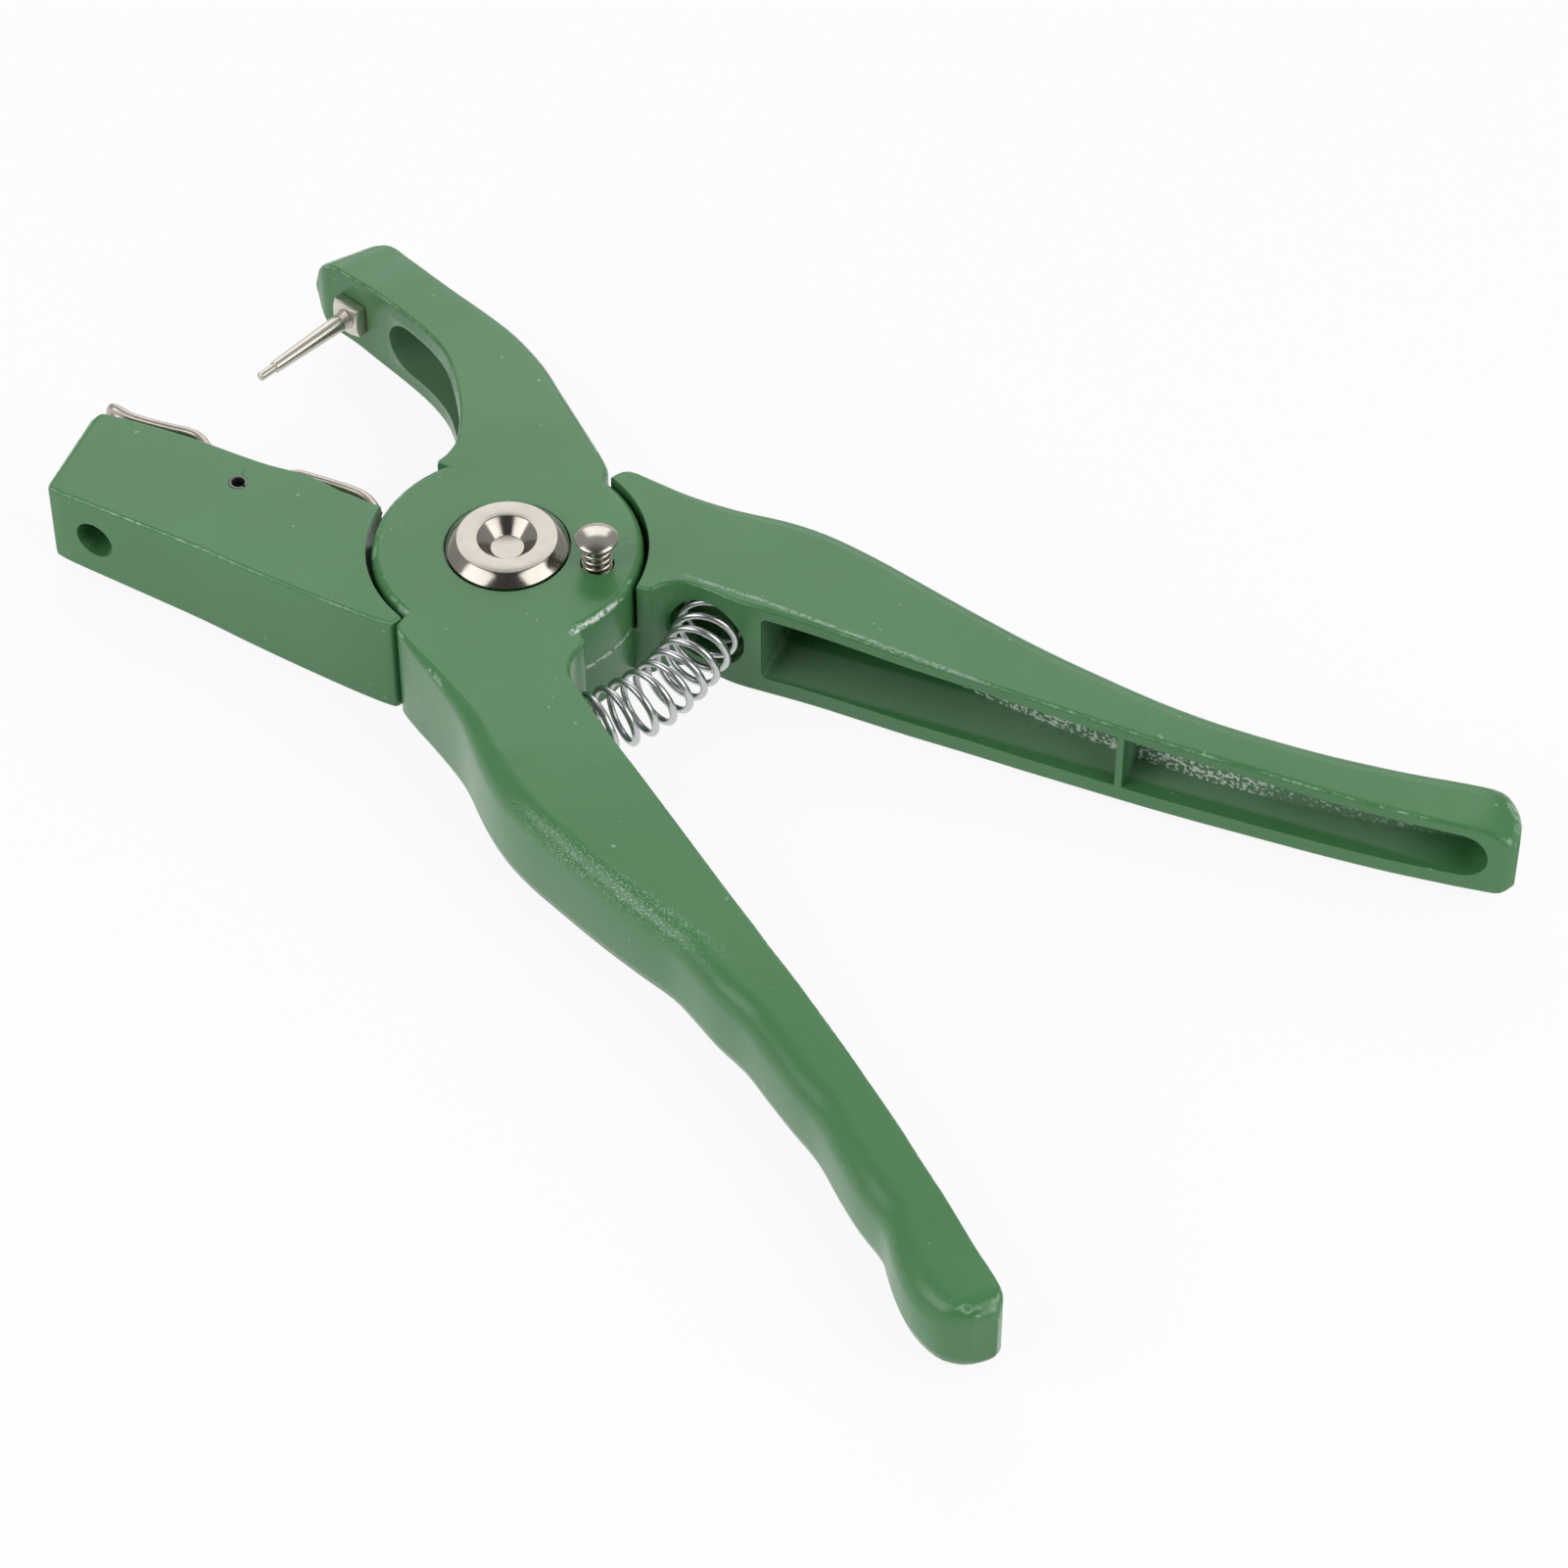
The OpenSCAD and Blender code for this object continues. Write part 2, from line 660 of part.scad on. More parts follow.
module needle() {
  run = sq_nut_t + needle_len;
  color([0.76, 0.74, 0.7])
    needle_line()
      rotate_extrude($fn = 32)
        polygon([
          [0, 0.1 - needle_top],
          [needle_r, 0.1 - needle_top],
          [needle_r, sq_nut_t + 0.3],
          [needle_r + 0.12, sq_nut_t + 0.6],
          [needle_r - 0.1, sq_nut_t + 0.9],
          [needle_r + 0.12, sq_nut_t + 1.2],
          [needle_r - 0.1, sq_nut_t + 1.5],
          [needle_r, sq_nut_t + 1.8],
          [needle_end_r, run - tip_len],
          [tip_r, run - tip_len],
          [tip_r, run - 0.25],
          [tip_r - 0.25, run],
          [0, run]
        ]);
}

module needle_nut() {
  color([0.7, 0.68, 0.64])
    needle_line()
      difference() {
        intersection() {
          translate([-sq_nut / 2, -sq_nut / 2, nut_lift])
            cube([sq_nut, sq_nut, sq_nut_t]);
          cylinder(r1 = sq_nut * 0.7, r2 = sq_nut * 0.6, h = 4, $fn = 48);
        }
        translate([0, 0, -over])
          cylinder(r = needle_r + 0.01, h = 6, $fn = 32);
      }
}

module tag_clip() {
  half = [for (p = smooth(leg, 2)) on_face(p[0], p[1], mid + clip_half_w)];
  other = [for (p = smooth(leg, 2)) on_face(p[0], p[1], mid - clip_half_w)];
  bend = [
    for (k = [1 : 7])
      on_face(leg[0][0] + 1.4 * sin(180 * k / 8), leg[0][1] + 0.6 * sin(180 * k / 8),
        mid - clip_half_w * cos(180 * k / 8))
  ];
  color([0.62, 0.6, 0.56])
    wire([
      for (i = [len(other) - 1 : -1 : 0]) other[i],
      each bend,
      each half
    ], clip_d, 6);
}

module clip_pin() {
  h = hub_t - 1.9;
  color([0.16, 0.16, 0.16])
    translate(on_face(roll_s, roll_up, (hub_t - h) / 2))
      difference() {
        cylinder(r = roll_r, h = h, $fn = 32);
        translate([0, 0, -over])
          cylinder(r = roll_r - 0.55, h = h + 2 * over, $fn = 32);
        translate([0, -0.2, -over])
          cube([3, 0.4, h + 2 * over]);
      }
}

clip_half();
needle_half();
pivot_pin();
pivot_nut();
lock_pin();
lock_ring();
lock_spring();
main_spring();
needle();
needle_nut();
tag_clip();
clip_pin();
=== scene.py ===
"""Looks of the ear tag applicator: castings, pivot, springs, needle and clip."""
from __future__ import annotations

import logging
import math
from dataclasses import dataclass
from enum import Enum

import bpy
from mathutils import Matrix, Vector


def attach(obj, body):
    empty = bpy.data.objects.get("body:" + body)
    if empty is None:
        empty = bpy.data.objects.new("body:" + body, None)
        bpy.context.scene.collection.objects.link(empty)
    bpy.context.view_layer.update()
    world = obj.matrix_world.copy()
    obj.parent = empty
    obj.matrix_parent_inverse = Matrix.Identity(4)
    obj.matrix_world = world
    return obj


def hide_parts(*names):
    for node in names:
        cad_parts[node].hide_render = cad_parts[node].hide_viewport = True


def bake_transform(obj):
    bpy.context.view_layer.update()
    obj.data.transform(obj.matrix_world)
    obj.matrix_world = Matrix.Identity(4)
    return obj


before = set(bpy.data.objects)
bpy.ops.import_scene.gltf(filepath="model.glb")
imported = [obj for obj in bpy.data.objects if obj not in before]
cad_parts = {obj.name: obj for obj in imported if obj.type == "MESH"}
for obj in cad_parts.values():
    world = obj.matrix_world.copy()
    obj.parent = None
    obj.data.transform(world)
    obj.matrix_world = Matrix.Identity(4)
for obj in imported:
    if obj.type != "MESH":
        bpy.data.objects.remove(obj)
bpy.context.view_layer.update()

LOG = logging.getLogger("applicator")
MM = 0.001
EDGE = "edge"
HUB_TOP = 20.0
HALF_LAP = 10.0
LOCK_REACH = 15.4 * MM
LOCK_TURN = math.radians(25.4)
CLIP_HANDLE_TURN = 17.9
CREST_FLAT = (0.5, 0.9)
CREST_WIDTH = 0.5 * MM
NICKEL_LIGHT = (0.53, 0.49, 0.44)
NICKEL_DARK = (0.47, 0.435, 0.39)


class Body(Enum):
    """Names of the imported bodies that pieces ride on."""

    CLIP = "clip_body"
    NEEDLE = "needle_body"
    LOCK = "lock_body"


class Slot(Enum):
    """Material slots of the record."""

    ENAMEL = "green_enamel"
    NICKEL = "nickel"
    ZINC = "zinc_wire"
    CLIP_WIRE = "spring_wire"
    DARK = "dark_steel"


class Facing(Enum):
    """Which faces in a window take its finish."""

    ANY = "any"
    FRONT = "front"
    NOT_BACK = "not back"


@dataclass(frozen=True)
class Window:
    """A turned box on a piece where painted glints or a painted sheen lie; its front is its -Y
    side.
    """

    centre: tuple[float, float, float]
    half: tuple[float, float, float]
    turn: float = 0.0
    soft: float = 0.1
    cells: float = 1500.0
    low: float = 0.5
    high: float = 0.56
    strength: float = 1.0
    facing: Facing = Facing.ANY


# ---- finishes ------------------------------------------------------------


class NodeBoard:
    """A small helper that adds shader nodes to a material and links them."""

    def __init__(self, name: str) -> None:
        """Starts a material with one Principled shader.

        Args:
            name: the material's name.
        """
        self.material = bpy.data.materials.new(name)
        self.material.use_nodes = True
        self.tree = self.material.node_tree
        self.shader = self.tree.nodes["Principled BSDF"]

    def add(self, kind: str, **values: object) -> bpy.types.Node:
        """Adds a node and sets its properties or input sockets.

        Args:
            kind: the node's type name.
            values: property or socket values; a socket's spaces become underscores.

        Returns:
            The new node.
        """
        node = self.tree.nodes.new(kind)
        for key, value in values.items():
            socket = node.inputs.get(key.replace("_", " "))
            if socket is not None:
                socket.default_value = value
            else:
                setattr(node, key, value)
        return node

    def link(self, source: bpy.types.NodeSocket, target: bpy.types.NodeSocket) -> None:
        """Links one socket to another.

        Args:
            source: the output socket.
            target: the input socket.
        """
        self.tree.links.new(source, target)

    def place(self) -> bpy.types.NodeSocket:
        """Finds the piece's own coordinates.

        Returns:
            The object coordinates.
        """
        return self.add("ShaderNodeTexCoord").outputs["Object"]

    def noise(self, scale: float, detail: float = 2.0, rough: float = 0.5) -> bpy.types.Node:
        """Adds a noise texture on object coordinates.

        Args:
            scale: cells per metre.
            detail: octaves of the noise.
            rough: how strong the finer octaves are.

        Returns:
            The noise node.
        """
        node = self.add("ShaderNodeTexNoise", Scale=scale, Detail=detail, Roughness=rough)
        self.link(self.place(), node.inputs["Vector"])
        return node

    def ramp(self, source: bpy.types.NodeSocket, low: float, high: float) -> bpy.types.NodeSocket:
        """Stretches a value between two limits to the range 0 to 1.

        Args:
            source: the value.
            low: the value that becomes 0.
            high: the value that becomes 1.

        Returns:
            The stretched value, clamped.
        """
        node = self.add("ShaderNodeMapRange", clamp=True)
        node.inputs["From Min"].default_value = low
        node.inputs["From Max"].default_value = high
        self.link(source, node.inputs["Value"])
        return node.outputs["Result"]

    def blend(
        self,
        factor: bpy.types.NodeSocket,
        first: tuple[float, float, float],
        second: tuple[float, float, float],
    ) -> bpy.types.NodeSocket:
        """Mixes two plain colours by a factor.

        Args:
            factor: 0 gives the first colour and 1 the second.
            first: the colour at 0.
            second: the colour at 1.

        Returns:
            The mixed colour.
        """
        node = self.add("ShaderNodeMix", data_type="RGBA")
        node.inputs[6].default_value = (*first, 1.0)
        node.inputs[7].default_value = (*second, 1.0)
        self.link(factor, node.inputs[0])
        return node.outputs[2]

    def bump(
        self,
        height: bpy.types.NodeSocket,
        depth: float,
        strength: float,
        under: bpy.types.Node | None = None,
    ) -> bpy.types.Node:
        """Adds a bump layer.

        Args:
            height: the height field.
            depth: how deep it is, in metres.
            strength: how much of it shows.
            under: a bump layer that this one lies on.

        Returns:
            The bump node.
        """
        node = self.add("ShaderNodeBump", Strength=strength, Distance=depth)
        self.link(height, node.inputs["Height"])
        if under is not None:
            self.link(under.outputs["Normal"], node.inputs["Normal"])
        return node

    def surface(self, last: bpy.types.Node) -> None:
        """Feeds the last bump layer to the shader.

        Args:
            last: the bump layer on top.
        """
        self.link(last.outputs["Normal"], self.shader.inputs["Normal"])

    def math(
        self,
        operation: str,
        first: bpy.types.NodeSocket,
        second: bpy.types.NodeSocket | float,
    ) -> bpy.types.NodeSocket:
        """Joins two values by a sum, product or other operation.

        Args:
            operation: the operation's name.
            first: the first value.
            second: the second value, a socket or a number.

        Returns:
            The result.
        """
        node = self.add("ShaderNodeMath", operation=operation)
        self.link(first, node.inputs[0])
        if isinstance(second, float):
            node.inputs[1].default_value = second
        else:
            self.link(second, node.inputs[1])
        return node.outputs[0]

    def over(
        self,
        factor: bpy.types.NodeSocket,
        under: bpy.types.NodeSocket,
        colour: tuple[float, float, float],
    ) -> bpy.types.NodeSocket:
        """Lays a plain colour over another by a factor.

        Args:
            factor: how much of the colour shows.
            under: the colour below.
            colour: the colour on top.

        Returns:
            The mixed colour.
        """
        node = self.add("ShaderNodeMix", data_type="RGBA")
        self.link(under, node.inputs[6])
        node.inputs[7].default_value = (*colour, 1.0)
        self.link(factor, node.inputs[0])
        return node.outputs[2]

    def window(self, window: Window) -> bpy.types.NodeSocket:
        """Marks a soft-edged box in the piece.

        Args:
            window: the box.

        Returns:
            1 inside the box, falling to 0 past its edges.
        """
        turn = self.add("ShaderNodeMapping", vector_type="TEXTURE")
        turn.inputs["Location"].default_value = window.centre
        turn.inputs["Rotation"].default_value = (0.0, 0.0, math.radians(window.turn))
        turn.inputs["Scale"].default_value = window.half
        self.link(self.place(), turn.inputs["Vector"])
        size = self.add("ShaderNodeVectorMath", operation="ABSOLUTE")
        self.link(turn.outputs["Vector"], size.inputs[0])
        axes = self.add("ShaderNodeSeparateXYZ")
        self.link(size.outputs["Vector"], axes.inputs[0])
        far = self.math("MAXIMUM", axes.outputs["X"], axes.outputs["Y"])
        far = self.math("MAXIMUM", far, axes.outputs["Z"])
        inside = self.ramp(far, 1.0 + window.soft, 1.0 - window.soft)
        if window.facing is not Facing.ANY:
            inside = self.math("MULTIPLY", inside, self.faced(window))
        return self.math("MULTIPLY", inside, window.strength)

    def faced(self, window: Window) -> bpy.types.NodeSocket:
        """Marks the faces that a window takes in by the way they look.

        Args:
            window: the box.

        Returns:
            1 on those faces, else 0.
        """
        turn = math.radians(window.turn)
        look = self.add("ShaderNodeVectorMath", operation="DOT_PRODUCT")
        self.link(self.add("ShaderNodeTexCoord").outputs["Normal"], look.inputs[0])
        look.inputs[1].default_value = (math.sin(turn), -math.cos(turn), 0.0)
        if window.facing is Facing.FRONT:
            return self.ramp(look.outputs["Value"], 0.4, 0.6)
        return self.ramp(look.outputs["Value"], -0.6, -0.4)

    def edges(self) -> bpy.types.NodeSocket:
        """Marks the faces that round a piece's edges, which take wear and a painted edge
        highlight.

        Returns:
            1 on those faces, else 0.
        """
        return self.add("ShaderNodeAttribute", attribute_name=EDGE).outputs["Fac"]

    def set(self, **values: float) -> None:
        """Sets plain values on the shader's own sockets.

        Args:
            values: socket values; a socket's spaces become underscores.
        """
        for key, value in values.items():
            self.shader.inputs[key.replace("_", " ")].default_value = value


@dataclass(frozen=True)
class Enamel:
    """Green stove enamel over a die casting, with a painted sheen lightening its channel and
    pocket.
    """

    name: str
    light: tuple[float, float, float] = (0.07, 0.232, 0.083)
    dark: tuple[float, float, float] = (0.061, 0.212, 0.073)
    # lighter green of dust and chips, and of the painted highlight on worn edges
    chip_and_highlight: tuple[float, float, float] = (0.36, 0.54, 0.38)
    glint: tuple[float, float, float] = (0.85, 0.92, 0.86)
    roughness: float = 0.28
    peel_cells: float = 900.0
    peel_depth: float = 0.00003
    grain_cells: float = 3000.0
    grain_depth: float = 0.000012
    gloss_cells: float = 160.0
    gloss_spread: tuple[float, float] = (-0.06, 0.08)
    cloud_cells: float = 38.0
    cloud_range: tuple[float, float] = (0.32, 0.68)
    dust_cells: float = 900.0
    dust_range: tuple[float, float] = (0.845, 0.87)
    dust_share: float = 0.5
    wear_highlight_cells: float = 900.0
    wear_highlight_range: tuple[float, float] = (0.42, 0.6)
    wear_highlight_share: float = 0.8
    stretch_cells: float = 90.0
    stretch_range: tuple[float, float] = (0.35, 0.6)
    # milky grey-green of the painted sheen in the recesses
    painted_sheen: tuple[float, float, float] = (0.19, 0.33, 0.2)
    painted_sheen_windows: tuple[Window, ...] = ()
    painted_glint_windows: tuple[Window, ...] = ()

    def make(self) -> bpy.types.Material:
        """Builds the enamel.

        Returns:
            The material.
        """
        board = NodeBoard(self.name)
        colour = self.colour(board)
        board.link(colour, board.shader.inputs["Base Color"])
        patch = board.noise(self.gloss_cells, 4.0, 0.6)
        gloss = board.add("ShaderNodeMapRange")
        board.link(patch.outputs["Fac"], gloss.inputs["Value"])
        gloss.inputs["To Min"].default_value = self.roughness + self.gloss_spread[0]
        gloss.inputs["To Max"].default_value = self.roughness + self.gloss_spread[1]
        board.link(gloss.outputs["Result"], board.shader.inputs["Roughness"])
        peel = board.noise(self.peel_cells, 1.0)
        grain = board.noise(self.grain_cells, 2.0)
        under = board.bump(peel.outputs["Fac"], self.peel_depth, 0.5)
        board.surface(board.bump(grain.outputs["Fac"], self.grain_depth, 0.5, under))
        board.set(Specular_IOR_Level=0.5)
        return board.material

    def colour(self, board: NodeBoard) -> bpy.types.NodeSocket:
        """Mixes the clouded green, the worn edges with their painted highlight, the painted sheen
        and the painted glints.

        Args:
            board: the material's nodes.

        Returns:
            The colour.
        """
        cloud = board.noise(self.cloud_cells, 3.0)
        tone = board.ramp(cloud.outputs["Fac"], *self.cloud_range)
        colour = board.blend(tone, self.dark, self.light)
        dust = board.noise(self.dust_cells, 0.0)
        dust = board.ramp(dust.outputs["Fac"], *self.dust_range)
        colour = board.over(board.math("MULTIPLY", dust, self.dust_share), colour, self.chip_and_highlight)
        # worn edges with a painted highlight: a lighter line on the marked edge faces
        worn = board.noise(self.wear_highlight_cells, 3.0, 0.7)
        stretch = board.noise(self.stretch_cells, 1.0)
        stretch = board.ramp(stretch.outputs["Fac"], *self.stretch_range)
        line = board.ramp(worn.outputs["Fac"], *self.wear_highlight_range)
        line = board.math("MULTIPLY", line, board.edges())
        line = board.math("MULTIPLY", line, stretch)
        colour = board.over(board.math("MULTIPLY", line, self.wear_highlight_share), colour, self.chip_and_highlight)
        # painted sheen: the recesses are lightened towards a milky grey-green
        for window in self.painted_sheen_windows:
            colour = board.over(board.window(window), colour, self.painted_sheen)
        # painted glints: bright spots that stand in for sparkling highlights
        for window in self.painted_glint_windows:
            colour = self.paint_glints(board, colour, window)
        return colour

    def paint_glints(
        self,
        board: NodeBoard,
        under: bpy.types.NodeSocket,
        window: Window,
    ) -> bpy.types.NodeSocket:
        """Lays painted glints, bright spots that stand in for sparkling highlights, over a window
        of the surface.

        Args:
            board: the material's nodes.
            under: the colour below.
            window: where the painted glints are, how many and how bright.

        Returns:
            The colour with the painted glints.
        """
        grain = board.noise(window.cells, 1.0).outputs["Fac"]
        spots = board.ramp(grain, window.low, window.high)
        return board.over(board.math("MULTIPLY", spots, board.window(window)), under, self.glint)


@dataclass(frozen=True)
class Plate:
    """Plated metal: nickel, zinc or bare spring wire."""

    name: str
    light: tuple[float, float, float]
    dark: tuple[float, float, float]
    roughness: float
    streak: float = 0.06
    cells: float = 900.0
    metal: float = 1.0
    stain_share: float = 0.25
    pit_share: float = 2.6
    pit_depth: float = 0.000012

    def start(self) -> tuple[NodeBoard, bpy.types.Node]:
        """Builds the shared colour and gloss layers.

        Returns:
            The board and its first bump layer.
        """
        board = NodeBoard(self.name)
        stain = board.noise(self.cells * self.stain_share, 4.0, 0.62)
        tone = board.ramp(stain.outputs["Fac"], 0.3, 0.7)
        board.link(board.blend(tone, self.dark, self.light), board.shader.inputs["Base Color"])
        gloss = board.add("ShaderNodeMapRange")
        fine = board.noise(self.cells, 3.0, 0.6)
        board.link(fine.outputs["Fac"], gloss.inputs["Value"])
        gloss.inputs["To Min"].default_value = max(self.roughness - self.streak, 0.03)
        gloss.inputs["To Max"].default_value = self.roughness + self.streak
        board.link(gloss.outputs["Result"], board.shader.inputs["Roughness"])
        board.set(Metallic=self.metal)
        pits = board.noise(self.cells * self.pit_share, 2.0)
        return board, board.bump(pits.outputs["Fac"], self.pit_depth, 0.5)

    def make(self) -> bpy.types.Material:
        """Builds the plain plated finish.

        Returns:
            The material.
        """
        board, last = self.start()
        board.surface(last)
        return board.material


@dataclass(frozen=True)
class TurnedPlate(Plate):
    """Plated metal with the fine rings of a lathe round one upright axis."""

    centre: tuple[float, float] = (0.0, 0.0)
    rings: float = 5200.0
    ring_depth: float = 0.000014

    def make(self) -> bpy.types.Material:
        """Builds the turned finish.

        Returns:
            The material.
        """
        board, last = self.start()
        shift = board.add("ShaderNodeMapping")
        shift.inputs["Location"].default_value = (-self.centre[0], -self.centre[1], 0.0)
        shift.inputs["Scale"].default_value = (1.0, 1.0, 0.0)
        board.link(board.place(), shift.inputs["Vector"])
        length = board.add("ShaderNodeVectorMath", operation="LENGTH")
        board.link(shift.outputs["Vector"], length.inputs[0])
        lines = board.add(
            "ShaderNodeTexNoise", noise_dimensions="1D", Scale=self.rings, Detail=3.0
        )
        board.link(length.outputs["Value"], lines.inputs["W"])
        board.surface(board.bump(lines.outputs["Fac"], self.ring_depth, 0.6, last))
        return board.material


class Finishes:
    """All finishes of the tool, built once."""

    # points of the edges that carry painted highlight lines, in millimetres
    grip_highlight_line: tuple[tuple[float, float], ...] = (
        (27.9, 14.0), (40.6, 17.5), (61.2, 22.5), (78.2, 26.7), (102.5, 32.5),
    )
    notch_highlight_line: tuple[tuple[float, float], ...] = ((21.4, -7.7), (22.1, -2.2), (22.6, 4.1))
    ledge_highlight_line: tuple[tuple[float, float], ...] = ((22.1, -7.0), (22.4, -1.0), (22.2, 6.5))

    def __init__(self, lock_centre: tuple[float, float]) -> None:
        """Builds every material.

        Args:
            lock_centre: where the lock button stands, for its turned rings.
        """
        # painted glints on the channel's deep walls
        wall = Window(
            (0.0952, 0.0407, 0.01), (0.027, 0.005, 0.008), CLIP_HANDLE_TURN,
            facing=Facing.FRONT,
        )
        far_wall = Window(
            (0.1319, 0.0508, 0.0115), (0.016, 0.004, 0.005), CLIP_HANDLE_TURN, 0.35,
            low=0.58, high=0.63, strength=0.8, facing=Facing.FRONT,
        )
        # painted sheen lightening the clip half's channel
        channel = Window(
            (0.093, 0.0377, 0.0085), (0.057, 0.0042, 0.0068), CLIP_HANDLE_TURN,
            strength=0.8, facing=Facing.NOT_BACK,
        )
        # painted glints along the needle half's rounded shoulder
        shoulder = Window(
            (0.0605, -0.0433, 0.0176), (0.019, 0.0017, 0.002), -2.8, 0.35,
            cells=3200.0, low=0.57, high=0.64, strength=0.33,
        )
        # painted sheen lightening the needle half's pocket
        pocket = Window(
            (-0.0419, 0.03, 0.01), (0.0155, 0.004, 0.0056), -24.0,
            strength=0.85, facing=Facing.NOT_BACK,
        )
        # painted highlight lines along the grip, notch and ledge edges
        grip = self.lines(self.grip_highlight_line, HUB_TOP - 0.4, 0.24, 0.3, 0.8)
        notch = self.lines(self.notch_highlight_line, HUB_TOP, 0.85, 0.55, 0.8)
        ledge = self.lines(self.ledge_highlight_line, HALF_LAP, 0.7, 0.42, 0.35)
        self.clip_enamel = Enamel(
            "green_enamel", painted_sheen_windows=(channel,), painted_glint_windows=(wall, far_wall, *grip, *ledge)
        ).make()
        self.needle_enamel = Enamel(
            "green_enamel_grip", painted_sheen_windows=(pocket,), painted_glint_windows=(shoulder, *notch, *ledge)
        ).make()
        self.pivot = TurnedPlate(
            "pivot_nickel", (0.42, 0.39, 0.345), (0.37, 0.343, 0.305), 0.15, cells=1400.0
        ).make()
        self.lock = TurnedPlate(
            "lock_nickel", NICKEL_LIGHT, NICKEL_DARK, 0.2, centre=lock_centre
        ).make()
        self.needle = Plate(
            "needle_nickel", (0.6, 0.56, 0.5), NICKEL_LIGHT, 0.24, 0.02, 60.0, 0.82
        ).make()
        self.nut = Plate("nut_nickel", (0.7, 0.65, 0.58), (0.6, 0.56, 0.5), 0.3).make()
        self.zinc = Plate("zinc_wire", (0.62, 0.63, 0.63), (0.54, 0.55, 0.55), 0.28).make()
        self.coil = Plate("coil_wire", (0.6, 0.56, 0.5), (0.5, 0.46, 0.41), 0.2).make()
        self.wire = Plate("clip_wire", (0.56, 0.5, 0.45), (0.42, 0.37, 0.33), 0.34).make()
        self.rolled = Plate("rolled_steel", (0.2, 0.22, 0.2), (0.09, 0.1, 0.09), 0.4).make()

    def lines(
        self,
        points: tuple[tuple[float, float], ...],
        height: float,
        strength: float,
        half_wide: float,
        half_high: float,
    ) -> list[Window]:
        """Lays a thin painted highlight line of glints through points of an edge, in millimetres.

        Args:
            points: the edge's points, seen from above.
            height: the edge's height.
            strength: how strongly the painted highlight shows.
            half_wide: half the line's width.
            half_high: half the height that it takes in.

        Returns:
            One narrow window for each stretch.
        """
        found = []
        for (x0, y0), (x1, y1) in zip(points[:-1], points[1:]):
            long = math.hypot(x1 - x0, y1 - y0) / 2 + 0.2
            found.append(
                Window(
                    ((x0 + x1) / 2 * MM, (y0 + y1) / 2 * MM, height * MM),
                    (long * MM, half_wide * MM, half_high * MM),
                    math.degrees(math.atan2(y1 - y0, x1 - x0)),
                    0.3,
                    cells=1300.0,
                    low=0.38,
                    high=0.52,
                    strength=strength,
                )
            )
        return found


# ---- modelling helpers ---------------------------------------------------


def only(piece: bpy.types.Object) -> None:
    """Selects one object alone and makes it active.

    Args:
        piece: the object.
    """
    bpy.ops.object.select_all(action="DESELECT")
    piece.select_set(True)
    bpy.context.view_layer.objects.active = piece


def apply_all(piece: bpy.types.Object) -> None:
    """Applies every modifier of a piece in order.

    Args:
        piece: the piece.
    """
    only(piece)
    for modifier in list(piece.modifiers):
        bpy.ops.object.modifier_apply(modifier=modifier.name)


def settle(piece: bpy.types.Object) -> None:
    """Puts a piece's place into its mesh, so its object sits at the origin.

    Args:
        piece: the piece.
    """
    only(piece)
    bpy.ops.object.transform_apply(location=True, rotation=True, scale=True)


def outward(piece: bpy.types.Object) -> None:
    """Merges doubles and turns every face outwards.

    Args:
        piece: the piece.
    """
    only(piece)
    bpy.ops.object.mode_set(mode="EDIT")
    bpy.ops.mesh.select_all(action="SELECT")
    bpy.ops.mesh.remove_doubles(threshold=0.000002)
    bpy.ops.mesh.normals_make_consistent(inside=False)
    bpy.ops.object.mode_set(mode="OBJECT")


def smooth(piece: bpy.types.Object, degrees: float) -> None:
    """Shades a piece smooth except across edges sharper than an angle.

    Args:
        piece: the piece.
        degrees: the angle.
    """
    only(piece)
    bpy.ops.object.shade_smooth_by_angle(angle=math.radians(degrees))


def dress(
    piece: bpy.types.Object,
    material: bpy.types.Material,
    slot: Slot,
    body: Body | None,
    *nodes: str,
) -> bpy.types.Object:
    """Gives a finished piece its material, body and the nodes it stands for.

    Args:
        piece: the finished piece.
        material: its finish.
        slot: the record's slot that the finish belongs to.
        body: the body that it rides on, or None to leave it on no body.
        nodes: the CAD nodes that it replaces.

    Returns:
        The same piece.
    """
    piece.data.materials.clear()
    piece.data.materials.append(material)
    if body is not None:
        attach(piece, body.value)
    if nodes:
        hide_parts(*nodes)
    faces = sum(len(face.vertices) - 2 for face in piece.data.polygons)
    LOG.info("%s: %d triangles, slot %s", piece.name, faces, slot.value)
    return piece


def copy_of(node: str, name: str) -> bpy.types.Object:
    """Copies a CAD node's mesh to a new object and merges its loose triangles.

    Args:
        node: the CAD node.
        name: the new object's name.

    Returns:
        The new object.
    """
    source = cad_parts[node]
    piece = bpy.data.objects.new(name, source.data.copy())
    bpy.context.scene.collection.objects.link(piece)
    outward(piece)
    return piece


def round_edges(
    piece: bpy.types.Object,
    width: float,
    steps: int,
    degrees: float,
    label: int = -1,
) -> None:
    """Rounds every edge sharper than an angle.

    Args:
        piece: the piece.
        width: the rounding's width, in metres.
        steps: its segments.
        degrees: the least angle of an edge that is rounded.
        label: material number of the new faces, or -1 to take their neighbours'.
    """
    bevel = piece.modifiers.new("edges", "BEVEL")
    bevel.width = width
    bevel.segments = steps
    bevel.limit_method = "ANGLE"
    bevel.angle_limit = math.radians(degrees)
    bevel.use_clamp_overlap = True
    bevel.miter_outer = "MITER_ARC"
    bevel.material = label
    apply_all(piece)


